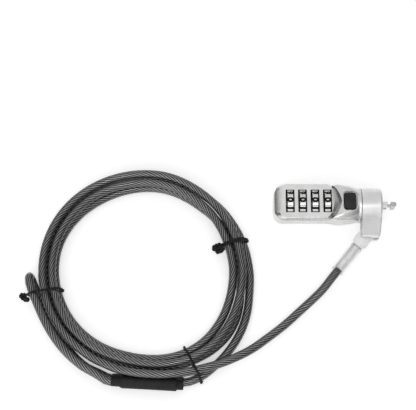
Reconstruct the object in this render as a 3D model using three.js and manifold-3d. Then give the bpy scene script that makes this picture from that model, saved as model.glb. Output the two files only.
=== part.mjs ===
// Four-dial laptop cable lock, lying on a table with its dials up.
// Millimetres, +Z up. The origin is under the middle of the lock itself (head, collar and locking bar),
// on the surface that it lies on. +X runs along the head towards the locking bar.
//
// The head is modelled in the neck frame: x from the head's blunt end, y and z from the axis of the
// round neck that the collar turns on. One group moves it all to the part's own frame.

import * as THREE from 'three';
import { mergeVertices } from 'three/addons/utils/BufferGeometryUtils.js';
import Module from 'manifold-3d';

const wasm = await Module();
wasm.setup();

// ---------------------------------------------------------------- driving dimensions

const GAP = 0.3; // running and seating clearance between pieces
const SEAT = 0.1; // gap under a cover that lies on a flat

// Head casting
const BODY_DEPTH = 10; // from the neck axis down to the flat underside
const BODY_HALF = 9.5;
const BODY_BOTTOM_RADIUS = 7;
const BODY_TOP_RADIUS = 0.8;
const BODY_END_RADIUS = 5; // rounding of the blunt end, seen from above
const BODY_END_LIFT = 0.6; // share of that rounding that also lifts the underside
const PARTING_HEIGHT = 6.6;
const SHOULDER_SETBACK = 0.5; // from its start to the last dial's middle
const NECK_RADIUS = 9.8;
const LIP_RADIUS = 10;
const LIP_WIDTH = 1.4;
const NECK_LENGTH = 11.6; // from the cover's nose to the end of the lip
// Sections of the shoulder: share of the way from its start to the lip, how far its sides lie inside the
// cover's, height of its top, and the radii of its top and bottom corners.
const SHOULDER = [
  [0.19, 0.9, 8, 1.4, 7.2],
  [0.35, 0.1, 9, 2.5, 7.6],
  [0.54, 0.2, 9.4, 4.4, 8.2],
  [0.75, 0.5, 9.6, 6, 8.8],
  [0.9, 0.9, 9.7, 8, 9.4],
];

// Dial cover, the raised island on top of the casting
const COVER_START = 0.5;
const COVER_OVERHANG = 1.4; // over each side of the casting
const COVER_CORNER = 6;
const COVER_SIDE = 1; // from the last dial's middle to where the sides start to run in to the nose
const COVER_REACH = 7.9; // from the last dial's middle to the nose
const COVER_EDGE = 0.7; // upright edge round the foot of the cover
const DECK_HEIGHT = 9;
const DECK_START = 3.1;
const DECK_INSET = 1; // from each side of the cover
const DECK_CORNER = 4;
const DECK_SIDE = 0; // as for the cover
const DECK_REACH = 4.3;
const PEG_RADIUS = 0.8;
const PEG_LENGTH = 1;

// Dials
const DIAL_COUNT = 4;
const DIAL_FIRST = 9.2;
const DIAL_PITCH = 7.1;
const DIAL_RADIUS = 8.3;
const DIAL_GROOVE = 0.45; // depth of the digit lands below the finger ridges
const DIAL_WIDTH = 3.9;
const DIAL_BORE = 5.2;
const DIAL_AXIS = 3.4; // above the neck axis
const DIGITS = 10;
const RIDGE_SHARE = 0.3; // share of a digit's arc that its ridge takes
const WINDOW_WIDTH = 4.9;
const WINDOW_LENGTH = 13.6;
const TROUGH_BEFORE = 3.6; // from its start to the first dial's middle
const TROUGH_AFTER = 3.9; // from the last dial's middle to its end
const CODE_RING_BORE = 2.7;
const GATE_WIDTH = 1.6;
const GATE_DEPTH = 1.2;
const JOURNAL_RADIUS = 1.6;
const JOURNAL_LENGTH = 2;
const DETENT_THICKNESS = 0.4;
const DETENT_WIDTH = 3.8;
const DETENT_CROWN = 0.5;
const DETENT_DEPTH = 1.3; // of its slot below the dials' trough

// Release button with its crank leg
const BUTTON_SETBACK = 6.6; // from the end of the lip to the button's middle
const BUTTON_LENGTH = 6.55;
const BUTTON_WIDTH = 9.9;
const BUTTON_CORNER = 1.5;
const BUTTON_CROWN = 10.7; // radius of the crowned top about the neck axis
const BUTTON_UNDERSIDE = 6.6;
const BUTTON_TRAVEL = 2;
const BUTTON_RIM = 0.8; // width of the sunk rim round the button
const BUTTON_RIM_HEIGHT = 8.6; // floor of the rim above the neck axis
const LEG_THICKNESS = 1;
const LEG_WIDTH = 5.2;
const LEG_OFFSET = -1.7; // from the button's middle, towards the dials
const CRANK_PIN_RADIUS = 0.45;
const SLOT_LENGTH = 1.7;
const SPRING_WIRE = 0.4;
const SPRING_RADIUS = 1;
const SPRING_CURLS = 4;
const SPRING_OFFSET = 2.1; // from the button's middle, towards the collar
const SPRING_FLOOR = 2.4;

// Locking bar
const BAR_RADIUS = 1.6;
const BAR_NECK_RADIUS = 1;
const BAR_DISC_RADIUS = 2.1;
const BAR_DISC_WIDTH = 1.1;
const HEAD_LENGTH = 3.3; // along the bar
const HEAD_WIDTH = 3;
const HEAD_HEIGHT = 6.4;
const HEAD_CORNER = 0.6;
const HEAD_BEVEL = 0.3;
const BAR_GAP = 1.9; // free neck between the prongs and the head
const PRONG_LENGTH = 3.4;

// Swivel collar with its fork
const COLLAR_WIDTH = 11.7;
const COLLAR_RADIUS = 10;
const COLLAR_BORE = 7.3;
const COLLAR_EDGE = 1.2;
const FLANGE_RADIUS = 8.2;
const FLANGE_WIDTH = 1.4;
const PLUG_RADIUS = 4.5;
const PLUG_LENGTH = 4.5;
const FORK_END = 20; // from the neck axis
const FORK_TOP = 5;
const FORK_BOTTOM = -4.2;
const PIN_COVER = 0.8; // of metal over the pivot pin's upper end
const FORK_ROOT_HALF = 5.8;
const FORK_END_HALF = 5.4;
const FORK_LEAN = 0.5; // of the fork's end from the pivot pin, towards the dials
const FORK_CORNER = 1.5;
const FORK_BEVEL = 0.5;
const FORK_GAP = 3.8;
const FORK_THROAT = 10.2; // bottom of the fork's gap, from the neck axis
const PIVOT_OFFSET = 14.7; // pivot pin, from the neck axis
const PIVOT_RADIUS = 1.6;

// Cable end fitting, measured from the pivot along the cable
const CABLE_SWING = 39; // degrees from straight out of the fork, towards the dials
const EYE_RADIUS = 4.2;
const EYE_WAIST = 2.6; // half width where the eye enters the ferrule
const EYE_LENGTH = 13;
const EYE_THICKNESS = 3.2;
const FERRULE_LENGTH = 17.2;
const FERRULE_RADIUS = 2.8;
const SHEATH_WALL = 0.4;
const SHEATH_OVERLAP = 1.2;

// Cable and coil
const CABLE_DIAMETER = 4.8;
const STRAND_GAP = 0.5; // between turns that lie side by side or on each other
const COIL_CENTRE = [-108.6, -32.2];
const COIL_RADIUS = 59.5; // of the outer turn, to the middle of the cable
const COIL_TURNS = 3.66; // in along the table and out again in the layer above
const COIL_REVERSAL = 1.885; // turns to where it is innermost
const COIL_CLIMB = 0.5; // turns that the rise to the upper layer takes, about the reversal
// Where the coil is out of round: the angle of each swelling in degrees, its half width, and its height.
const COIL_SWELLINGS = [
  [-55, 55, 4],
  [20, 28, -1.3],
  [50, 35, -1.2],
  [150, 55, 0.7],
];
// Where the lower turns have slipped in under the upper layer, or out from under it: the turn, how far in,
// between which angles it goes there, and between which it comes back.
const COIL_SLIPS = [
  [0, 1.4, 10, 55, 60, 110],
  [0, -2.2, 295, 325, 328, 356],
  [1, 2.9, 10, 55, 110, 175],
];
const COIL_STEPS = 36; // to a turn
const COIL_SIDES = 8;
const CABLE_SIDES = 8;

// End loop, its sleeve and the wire ties
const SLEEVE_MIDDLE = [-106.35, -96.85];
const SLEEVE_ANGLE = -3.17; // degrees
const SLEEVE_LENGTH = 39.9;
const SLEEVE_WALL = 0.75;
const SLEEVE_MOUTH = 3; // how far the cables run into the sleeve before they meet its ferrule
const SLEEVE_SLANT = 2.7; // how far the lower cable lies nearer the coil than the upper one
const TIE_THICKNESS = 0.9;
const TIE_TAIL = 1.3; // diameter of a tie's twisted end
const TIE_GAP = 0.35;
const TIE_ANGLES = [-165.8, 17, -63.7]; // left, right and bottom

// ---------------------------------------------------------------- derived sizes

const DIAL_LAST = DIAL_FIRST + DIAL_PITCH * (DIAL_COUNT - 1);
const TROUGH_START = DIAL_FIRST - TROUGH_BEFORE;
const TROUGH_END = DIAL_LAST + TROUGH_AFTER;
const SHOULDER_START = DIAL_LAST - SHOULDER_SETBACK;
const COVER_SHOULDER = DIAL_LAST + COVER_SIDE;
const COVER_NOSE = DIAL_LAST + COVER_REACH;
const DECK_SHOULDER = DIAL_LAST + DECK_SIDE;
const DECK_NOSE = DIAL_LAST + DECK_REACH;
const COVER_HALF = BODY_HALF + COVER_OVERHANG;
const DECK_HALF = COVER_HALF - DECK_INSET;
const BODY_LENGTH = COVER_NOSE + NECK_LENGTH;
const BUTTON_CENTRE = BODY_LENGTH - BUTTON_SETBACK;
const COLLAR_START = BODY_LENGTH + GAP;
const COLLAR_END = COLLAR_START + COLLAR_WIDTH;
const HEAD_START = COLLAR_END + PRONG_LENGTH + BAR_GAP;
const LOCK_LENGTH = HEAD_START + HEAD_LENGTH;
const SPIGOT_RADIUS = COLLAR_BORE - GAP;
const SPIGOT_END = COLLAR_END - FLANGE_WIDTH - GAP;
const FORK_MIDDLE = (FORK_TOP + FORK_BOTTOM) / 2;
const COLLAR_MIDDLE = COLLAR_START + COLLAR_WIDTH / 2;
const PIVOT_X = COLLAR_START + FORK_END_HALF - 0.4;
const LEG_X = BUTTON_CENTRE + LEG_OFFSET;
const CRANK_SIDE = -BUTTON_TRAVEL / 2;
const CRANK_HEIGHT = BUTTON_TRAVEL / 2;
const SHAFT_RADIUS = CODE_RING_BORE - GAP;
const SPINDLE_COLLAR = PARTING_HEIGHT + SEAT - DIAL_AXIS - GAP;
const TROUGH_RADIUS = DIAL_RADIUS + GAP + 0.1;
const DETENT_FLOOR = DIAL_AXIS - TROUGH_RADIUS - DETENT_DEPTH;
const CABLE_RADIUS = CABLE_DIAMETER / 2;
const STRAND_PITCH = CABLE_DIAMETER + STRAND_GAP;
const LOWER_LAYER = CABLE_RADIUS + TIE_GAP + TIE_THICKNESS;
const UPPER_LAYER = LOWER_LAYER + STRAND_PITCH;
const SLEEVE_RADIUS = CABLE_RADIUS + TIE_GAP + SLEEVE_WALL;
const SLEEVE_RISE = Math.sqrt(STRAND_PITCH ** 2 - SLEEVE_SLANT ** 2);
const LOCK_ORIGIN = new THREE.Vector3(-LOCK_LENGTH / 2, (FORK_END - COVER_HALF) / 2, BODY_DEPTH);
const PIVOT = new THREE.Vector3(PIVOT_X, -PIVOT_OFFSET, FORK_MIDDLE).add(LOCK_ORIGIN);
const CABLE_ANGLE = THREE.MathUtils.degToRad(270 - CABLE_SWING);
const FITTING_LENGTH = EYE_LENGTH + FERRULE_LENGTH;
const UP = new THREE.Vector3(0, 0, 1);

// ---------------------------------------------------------------- materials

const NICKEL = { color: 0xb9babb, roughness: 0.3, metalness: 1 };
const SATIN = { color: 0xc6c7c8, roughness: 0.45, metalness: 0.9 };
const STEEL = { color: 0xa2a4a6, roughness: 0.35, metalness: 1 };
const BRIGHT = { color: 0xd9dadb, roughness: 0.25, metalness: 1 };
const DIAL_SILVER = { color: 0xd2d3d4, roughness: 0.4, metalness: 0.4 };
const BRASS = { color: 0xb08d46, roughness: 0.4, metalness: 1 };
const BLACK = { color: 0x1c1c1d, roughness: 0.6, metalness: 0 };
const CLEAR = { color: 0xe8ecee, roughness: 0.15, metalness: 0 };
const CABLE = { color: 0x3a3b3d, roughness: 0.3, metalness: 0.2 };

// ---------------------------------------------------------------- solids

function solidOf(geometry) {
  const bare = new THREE.BufferGeometry();
  bare.setAttribute('position', geometry.getAttribute('position').clone());
  if (geometry.index) bare.setIndex(geometry.index.clone());
  const welded = mergeVertices(bare, 1e-4);
  const mesh = new wasm.Mesh({
    numProp: 3,
    vertProperties: new Float32Array(welded.getAttribute('position').array),
    triVerts: new Uint32Array(welded.index.array),
  });
  return new wasm.Manifold(mesh);
}

function geometryOf(solid) {
  const mesh = solid.getMesh();
  const geometry = new THREE.BufferGeometry();
  const positions = new Float32Array(mesh.vertProperties);
  geometry.setAttribute('position', new THREE.BufferAttribute(positions, 3));
  geometry.setIndex(new THREE.BufferAttribute(new Uint32Array(mesh.triVerts), 1));
  geometry.computeVertexNormals();
  return geometry;
}

function joined(first, ...others) {
  return others.reduce((sum, other) => sum.add(other), first);
}

function cut(first, ...others) {
  return others.reduce((rest, other) => rest.subtract(other), first);
}

function box(x0, x1, y0, y1, z0, z1) {
  const geometry = new THREE.BoxGeometry(x1 - x0, y1 - y0, z1 - z0);
  geometry.translate((x0 + x1) / 2, (y0 + y1) / 2, (z0 + z1) / 2);
  return solidOf(geometry);
}

// Solid of revolution about an axis along X, from [x, radius] points.
function turned(points, segments = 32, y = 0, z = 0) {
  const profile = points.map(([x, radius]) => new THREE.Vector2(radius, x));
  const geometry = new THREE.LatheGeometry(profile, segments);
  geometry.rotateZ(-Math.PI / 2);
  geometry.translate(0, y, z);
  return solidOf(geometry);
}

function rod(x0, x1, radius, segments = 32, y = 0, z = 0) {
  return turned([[x0, 0], [x0, radius], [x1, radius], [x1, 0]], segments, y, z);
}

function post(x, y, z0, z1, radius, segments = 24) {
  const geometry = new THREE.CylinderGeometry(radius, radius, z1 - z0, segments);
  geometry.rotateX(Math.PI / 2);
  geometry.translate(x, y, (z0 + z1) / 2);
  return solidOf(geometry);
}

// Closed skin through rings that all have the same number of points, with a fan over either end.
function loft(rings) {
  const count = rings[0].length;
  const index = [];
  for (let ring = 0; ring + 1 < rings.length; ring += 1) {
    for (let i = 0; i < count; i += 1) {
      const a = ring * count + i;
      const b = ring * count + ((i + 1) % count);
      index.push(a, b, b + count, a, b + count, a + count);
    }
  }
  const last = (rings.length - 1) * count;
  for (let i = 1; i + 1 < count; i += 1) {
    index.push(0, i + 1, i);
    index.push(last, last + i, last + i + 1);
  }
  const geometry = new THREE.BufferGeometry();
  const positions = new Float32Array(rings.flat(2));
  geometry.setAttribute('position', new THREE.BufferAttribute(positions, 3));
  geometry.setIndex(index);
  return geometry;
}

// Outline that runs anticlockwise, with a rounded corner at each [u, v, radius].
function rounded(corners, steps) {
  const points = [];
  corners.forEach(([u, v, radius], i) => {
    const corner = new THREE.Vector2(u, v);
    const before = corners[(i + corners.length - 1) % corners.length];
    const after = corners[(i + 1) % corners.length];
    const toBefore = new THREE.Vector2(before[0] - u, before[1] - v).normalize();
    const toAfter = new THREE.Vector2(after[0] - u, after[1] - v).normalize();
    const half = Math.acos(toBefore.dot(toAfter)) / 2;
    const bisector = toBefore.clone().add(toAfter).normalize();
    const centre = corner.clone().addScaledVector(bisector, radius / Math.sin(half));
    const start = corner.clone().addScaledVector(toBefore, radius / Math.tan(half)).sub(centre);
    for (let step = 0; step <= steps; step += 1) {
      const turn = ((Math.PI - 2 * half) * step) / steps;
      points.push(start.clone().rotateAround(new THREE.Vector2(), turn).add(centre));
    }
  });
  return points;
}

function plate(outline, z0, z1, bevel = 0) {
  const geometry = new THREE.ExtrudeGeometry(new THREE.Shape(outline), {
    depth: z1 - z0 - 2 * bevel,
    bevelEnabled: bevel > 0,
    bevelThickness: bevel,
    bevelSize: bevel,
    bevelOffset: -bevel,
    bevelSegments: 2,
  });
  geometry.translate(0, 0, z0 + bevel);
  return solidOf(geometry);
}

function mesh(name, solid, material) {
  const piece = new THREE.Mesh(geometryOf(solid), new THREE.MeshStandardMaterial(material));
  piece.name = name;
  return piece;
}

// ---------------------------------------------------------------- head casting

function bodySection(x, half, top, topRadius, bottomRadius, lift = 0) {
  const floor = lift - BODY_DEPTH;
  const corners = [
    [half, floor, bottomRadius],
    [half, top, topRadius],
    [-half, top, topRadius],
    [-half, floor, bottomRadius],
  ];
  return rounded(corners, 6).map((point) => [x, point.x, point.y]);
}

function bluntEndSection(x) {
  const back = BODY_END_RADIUS - x;
  const inset = BODY_END_RADIUS - Math.sqrt(BODY_END_RADIUS ** 2 - back ** 2);
  const half = BODY_HALF - inset;
  const bottomRadius = Math.min(BODY_BOTTOM_RADIUS, half - GAP);
  return bodySection(x, half, PARTING_HEIGHT, BODY_TOP_RADIUS, bottomRadius, inset * BODY_END_LIFT);
}

function neckSection(x, radius) {
  const corner = radius - 0.05;
  return bodySection(x, radius, radius, corner, corner, BODY_DEPTH - radius);
}

function castingSkin() {
  const lipStart = BODY_LENGTH - LIP_WIDTH;
  const rings = [0, 0.3, 1, 2.2, 3.5, BODY_END_RADIUS].map(bluntEndSection);
  rings.push(bodySection(SHOULDER_START, BODY_HALF, PARTING_HEIGHT, BODY_TOP_RADIUS, BODY_BOTTOM_RADIUS));
  SHOULDER.forEach(([share, inside, top, topRadius, bottomRadius]) => {
    const x = SHOULDER_START + share * (lipStart - SHOULDER_START);
    rings.push(bodySection(x, COVER_HALF - inside, top, topRadius, bottomRadius));
  });
  rings.push(neckSection(lipStart, NECK_RADIUS));
  rings.push(neckSection(lipStart + 0.2, LIP_RADIUS));
  rings.push(neckSection(BODY_LENGTH, LIP_RADIUS));
  return solidOf(loft(rings));
}

// Plan of the cover: a rounded blunt end, straight sides, and a curve from each side in to the nose.
function coverOutline(start, half, corner, shoulder, nose, grow = 0) {
  const blunt = rounded(
    [[shoulder, half + grow, 0], [start - grow, half + grow, corner],
      [start - grow, -half - grow, corner], [shoulder, -half - grow, 0]],
    5,
  ).slice(6, 18);
  const reach = nose + grow - shoulder;
  const side = new THREE.QuadraticBezierCurve(
    new THREE.Vector2(shoulder, -half - grow),
    new THREE.Vector2(shoulder + reach * 0.82, -half * 0.66 - grow),
    new THREE.Vector2(nose + grow, 0),
  ).getPoints(8);
  const mirrored = side.slice(0, -1).reverse().map((point) => new THREE.Vector2(point.x, -point.y));
  return [...blunt, ...side, ...mirrored];
}

function pegPlaces() {
  const left = DECK_START;
  return [[left, 4], [left, -4], [(TROUGH_END + COVER_NOSE) / 2, 0]];
}

function coverPocket() {
  const outline = coverOutline(COVER_START, COVER_HALF, COVER_CORNER, COVER_SHOULDER, COVER_NOSE, GAP);
  const floor = PARTING_HEIGHT - PEG_LENGTH - GAP;
  const pegs = pegPlaces().map(([x, y]) => post(x, y, floor, PARTING_HEIGHT + 1, PEG_RADIUS + GAP, 16));
  return joined(plate(outline, PARTING_HEIGHT, LIP_RADIUS + 1), ...pegs);
}

function dialTrough() {
  const round = rod(TROUGH_START, TROUGH_END, TROUGH_RADIUS, 48, 0, DIAL_AXIS);
  const mouth = box(
    TROUGH_START, TROUGH_END, -TROUGH_RADIUS, TROUGH_RADIUS, DIAL_AXIS, LIP_RADIUS + 1,
  );
  const reach = JOURNAL_LENGTH + GAP;
  const journals = rod(
    TROUGH_START - reach, TROUGH_END + reach, JOURNAL_RADIUS + GAP, 24, 0, DIAL_AXIS,
  );
  const half = DETENT_WIDTH / 2 + GAP;
  const springSlot = box(TROUGH_START + 0.4, TROUGH_END - 0.4, -half, half, DETENT_FLOOR, DIAL_AXIS);
  return joined(round, mouth, journals, springSlot);
}

function buttonOutline(grow) {
  const halfLength = BUTTON_LENGTH / 2 + grow;
  const halfWidth = BUTTON_WIDTH / 2 + grow;
  const corner = BUTTON_CORNER + grow;
  return rounded(
    [
      [BUTTON_CENTRE - halfLength, -halfWidth, corner],
      [BUTTON_CENTRE + halfLength, -halfWidth, corner],
      [BUTTON_CENTRE + halfLength, halfWidth, corner],
      [BUTTON_CENTRE - halfLength, halfWidth, corner],
    ],
    4,
  );
}

function buttonPocket() {
  const top = LIP_RADIUS + 2;
  const floor = BUTTON_UNDERSIDE - BUTTON_TRAVEL - 2 * GAP;
  const rim = plate(buttonOutline(BUTTON_RIM), BUTTON_RIM_HEIGHT, top);
  const shaft = plate(buttonOutline(GAP), floor, top);
  const crankFloor = -CRANK_HEIGHT - BAR_DISC_RADIUS - 2 * GAP;
  const half = LEG_WIDTH / 2 + GAP;
  const chamber = box(
    LEG_X - LEG_THICKNESS / 2 - 2 * GAP,
    LEG_X + LEG_THICKNESS / 2 + BAR_DISC_WIDTH + 3 * GAP,
    -half, half, crankFloor, floor + 1,
  );
  const springHole = post(
    BUTTON_CENTRE + SPRING_OFFSET, 0, SPRING_FLOOR, floor + 1, SPRING_RADIUS + SPRING_WIRE + GAP, 16,
  );
  return joined(rim, shaft, chamber, springHole);
}

function housing() {
  const spigot = rod(BODY_LENGTH - 1, SPIGOT_END, SPIGOT_RADIUS, 40);
  const barBore = rod(LEG_X, SPIGOT_END + 1, BAR_RADIUS + GAP, 24);
  const plugBore = rod(SPIGOT_END - PLUG_LENGTH, SPIGOT_END + 1, PLUG_RADIUS + SEAT, 32);
  const body = joined(castingSkin(), spigot);
  return cut(body, coverPocket(), dialTrough(), buttonPocket(), barBore, plugBore);
}

// ---------------------------------------------------------------- dial cover and dial works

function dialPlaces() {
  return Array.from({ length: DIAL_COUNT }, (_, i) => DIAL_FIRST + DIAL_PITCH * i);
}

function dialCover() {
  const foot = PARTING_HEIGHT + SEAT;
  const skirt = coverOutline(COVER_START, COVER_HALF, COVER_CORNER, COVER_SHOULDER, COVER_NOSE);
  const deck = coverOutline(DECK_START, DECK_HALF, DECK_CORNER, DECK_SHOULDER, DECK_NOSE);
  const ring = (outline, z) => outline.map((point) => [point.x, point.y, z]);
  const rings = [ring(skirt, foot), ring(skirt, foot + COVER_EDGE), ring(deck, DECK_HEIGHT)];
  const pegs = pegPlaces().map(([x, y]) => post(x, y, foot - PEG_LENGTH, foot + 0.5, PEG_RADIUS, 16));
  const windows = dialPlaces().map((x) => {
    const half = WINDOW_WIDTH / 2;
    const side = WINDOW_LENGTH / 2;
    const mouth = box(x - half, x + half, -side, side, foot - 2, DECK_HEIGHT + 1);
    return joined(mouth, rod(x - half, x + half, TROUGH_RADIUS, 48, 0, DIAL_AXIS));
  });
  return cut(joined(solidOf(loft(rings)), ...pegs), ...windows);
}

// A dial has a finger ridge between each two digit lands.
function dialSolid(x) {
  const points = [];
  const land = DIAL_RADIUS - DIAL_GROOVE;
  const step = (2 * Math.PI) / DIGITS;
  for (let digit = 0; digit < DIGITS; digit += 1) {
    const ridge = Math.PI / 2 + step * (digit + 0.5);
    const half = (step * RIDGE_SHARE) / 2;
    const foot = half * 1.4;
    points.push([land, ridge - foot], [DIAL_RADIUS, ridge - half]);
    points.push([DIAL_RADIUS, ridge + half], [land, ridge + foot], [land, ridge + step / 2]);
  }
  const outline = points.map(([r, angle]) => new THREE.Vector2(r * Math.cos(angle), r * Math.sin(angle)));
  const shape = new THREE.Shape(outline);
  shape.holes.push(new THREE.Path().absarc(0, 0, DIAL_BORE, 0, 2 * Math.PI, true));
  const geometry = new THREE.ExtrudeGeometry(shape, {
    depth: DIAL_WIDTH, bevelEnabled: false, curveSegments: 15,
  });
  geometry.translate(0, 0, -DIAL_WIDTH / 2);
  geometry.rotateX(Math.PI / 2);
  geometry.rotateZ(Math.PI / 2);
  geometry.translate(x, 0, DIAL_AXIS);
  return solidOf(geometry);
}

function codeRing(x) {
  const start = x - DIAL_WIDTH / 2;
  const end = x + DIAL_WIDTH / 2;
  const outer = DIAL_BORE - GAP;
  const inner = CODE_RING_BORE;
  const ring = turned(
    [[start, inner], [start, outer], [end, outer], [end, inner], [start, inner]],
    30, 0, DIAL_AXIS,
  );
  const half = GATE_WIDTH / 2;
  const bottom = DIAL_AXIS + inner - 1;
  return cut(ring, box(start - 1, end + 1, -half, half, bottom, DIAL_AXIS + inner + GATE_DEPTH));
}

function dialSpindle() {
  const start = TROUGH_START + GAP;
  const end = TROUGH_END - GAP;
  const side = DIAL_WIDTH / 2 + GAP;
  const points = [[start - JOURNAL_LENGTH, 0], [start - JOURNAL_LENGTH, JOURNAL_RADIUS]];
  points.push([start, JOURNAL_RADIUS], [start, SPINDLE_COLLAR]);
  dialPlaces().forEach((x) => {
    points.push([x - side, SPINDLE_COLLAR], [x - side, SHAFT_RADIUS]);
    points.push([x + side, SHAFT_RADIUS], [x + side, SPINDLE_COLLAR]);
  });
  points.push([end, SPINDLE_COLLAR], [end, JOURNAL_RADIUS]);
  points.push([end + JOURNAL_LENGTH, JOURNAL_RADIUS], [end + JOURNAL_LENGTH, 0]);
  return turned(points, 24, 0, DIAL_AXIS);
}

// Leaf spring under the dials, bowed up under each of them.
function detentSpring() {
  const base = DETENT_FLOOR + SEAT;
  const points = [[TROUGH_START + 0.8, 0]];
  dialPlaces().forEach((x) => {
    points.push([x - 2.4, 0], [x - 1, DETENT_CROWN], [x + 1, DETENT_CROWN], [x + 2.4, 0]);
  });
  points.push([TROUGH_END - 0.8, 0]);
  const lower = points.map(([x, z]) => new THREE.Vector2(x, base + z));
  const upper = points.map(([x, z]) => new THREE.Vector2(x, base + z + DETENT_THICKNESS));
  const geometry = new THREE.ExtrudeGeometry(new THREE.Shape([...lower, ...upper.reverse()]), {
    depth: DETENT_WIDTH, bevelEnabled: false,
  });
  geometry.rotateX(Math.PI / 2);
  geometry.translate(0, DETENT_WIDTH / 2, 0);
  return solidOf(geometry);
}

// ---------------------------------------------------------------- button and locking bar

function button() {
  const crown = rod(BUTTON_CENTRE - BUTTON_LENGTH, BUTTON_CENTRE + BUTTON_LENGTH, BUTTON_CROWN, 96);
  const cap = plate(buttonOutline(0), BUTTON_UNDERSIDE, BUTTON_CROWN + 1).intersect(crown);
  const leg = box(
    LEG_X - LEG_THICKNESS / 2, LEG_X + LEG_THICKNESS / 2, -LEG_WIDTH / 2, LEG_WIDTH / 2,
    CRANK_HEIGHT - CRANK_PIN_RADIUS - 1.4, BUTTON_UNDERSIDE + 1,
  );
  const slotHalf = CRANK_PIN_RADIUS + 0.2;
  const slotEnd = CRANK_SIDE + CRANK_PIN_RADIUS + GAP;
  const slot = box(
    LEG_X - LEG_THICKNESS, LEG_X + LEG_THICKNESS,
    slotEnd - SLOT_LENGTH, slotEnd, CRANK_HEIGHT - slotHalf, CRANK_HEIGHT + slotHalf,
  );
  return cut(joined(cap, leg), slot);
}

// One ring of a round tube, from the direction `across` towards the direction `up`.
function tubeRing(middle, across, up, radius, sides) {
  return Array.from({ length: sides }, (_, i) => {
    const angle = (2 * Math.PI * i) / sides;
    const point = middle.clone().addScaledVector(across, radius * Math.cos(angle));
    return point.addScaledVector(up, radius * Math.sin(angle)).toArray();
  });
}

function buttonSpring() {
  const rings = [];
  const steps = 10 * SPRING_CURLS;
  const bottom = SPRING_FLOOR + SEAT + SPRING_WIRE / 2;
  const top = BUTTON_UNDERSIDE - SEAT - SPRING_WIRE / 2;
  const rise = (top - bottom) / (2 * Math.PI * SPRING_CURLS);
  for (let step = 0; step <= steps; step += 1) {
    const turn = (2 * Math.PI * SPRING_CURLS * step) / steps;
    const outward = new THREE.Vector3(Math.cos(turn), Math.sin(turn), 0);
    const around = new THREE.Vector3(-Math.sin(turn), Math.cos(turn), 0).multiplyScalar(SPRING_RADIUS);
    const along = around.setZ(rise).normalize();
    const middle = new THREE.Vector3(BUTTON_CENTRE + SPRING_OFFSET, 0, bottom + rise * turn);
    middle.addScaledVector(outward, SPRING_RADIUS);
    rings.push(tubeRing(middle, outward, along.clone().cross(outward), SPRING_WIRE / 2, 5));
  }
  return solidOf(loft(rings));
}

// Turned bar with a crank pin at its inner end and a flat-shouldered head across its outer end.
function lockingBar() {
  const legFace = LEG_X + LEG_THICKNESS / 2;
  const discStart = legFace + GAP;
  const discEnd = discStart + BAR_DISC_WIDTH;
  const neckStart = SPIGOT_END - PLUG_LENGTH - GAP;
  const shaft = turned([
    [discStart, 0], [discStart, BAR_DISC_RADIUS], [discEnd, BAR_DISC_RADIUS], [discEnd, BAR_RADIUS],
    [neckStart, BAR_RADIUS], [neckStart, BAR_NECK_RADIUS], [HEAD_START + 1, BAR_NECK_RADIUS],
    [HEAD_START + 1, 0],
  ], 24);
  const pinStart = legFace - LEG_THICKNESS - GAP;
  const pin = rod(pinStart, discStart + 0.5, CRANK_PIN_RADIUS, 12, CRANK_SIDE, CRANK_HEIGHT);
  const half = HEAD_WIDTH / 2;
  const outline = rounded(
    [
      [HEAD_START, -half, HEAD_CORNER],
      [HEAD_START + HEAD_LENGTH, -half, half - 0.1],
      [HEAD_START + HEAD_LENGTH, half, half - 0.1],
      [HEAD_START, half, HEAD_CORNER],
    ],
    4,
  );
  return joined(shaft, pin, plate(outline, -HEAD_HEIGHT / 2, HEAD_HEIGHT / 2, HEAD_BEVEL));
}

// Front plug of the neck: it holds the collar on and carries the two prongs that stop the lock turning.
function nosePlug() {
  const start = SPIGOT_END - PLUG_LENGTH + SEAT;
  const flange = COLLAR_END - FLANGE_WIDTH;
  const bore = BAR_NECK_RADIUS + GAP;
  const plug = turned([
    [start, bore], [start, PLUG_RADIUS], [flange, PLUG_RADIUS], [flange, FLANGE_RADIUS],
    [COLLAR_END - 0.3, FLANGE_RADIUS], [COLLAR_END, FLANGE_RADIUS - 0.3], [COLLAR_END, bore], [start, bore],
  ], 40);
  const inner = bore + 0.05;
  const outer = HEAD_HEIGHT / 2;
  const half = HEAD_WIDTH / 2;
  const reach = COLLAR_END + PRONG_LENGTH;
  const upper = box(COLLAR_END - 1, reach, -half, half, inner, outer);
  const lower = box(COLLAR_END - 1, reach, -half, half, -outer, -inner);
  return joined(plug, upper, lower);
}

// ---------------------------------------------------------------- swivel collar

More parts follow.
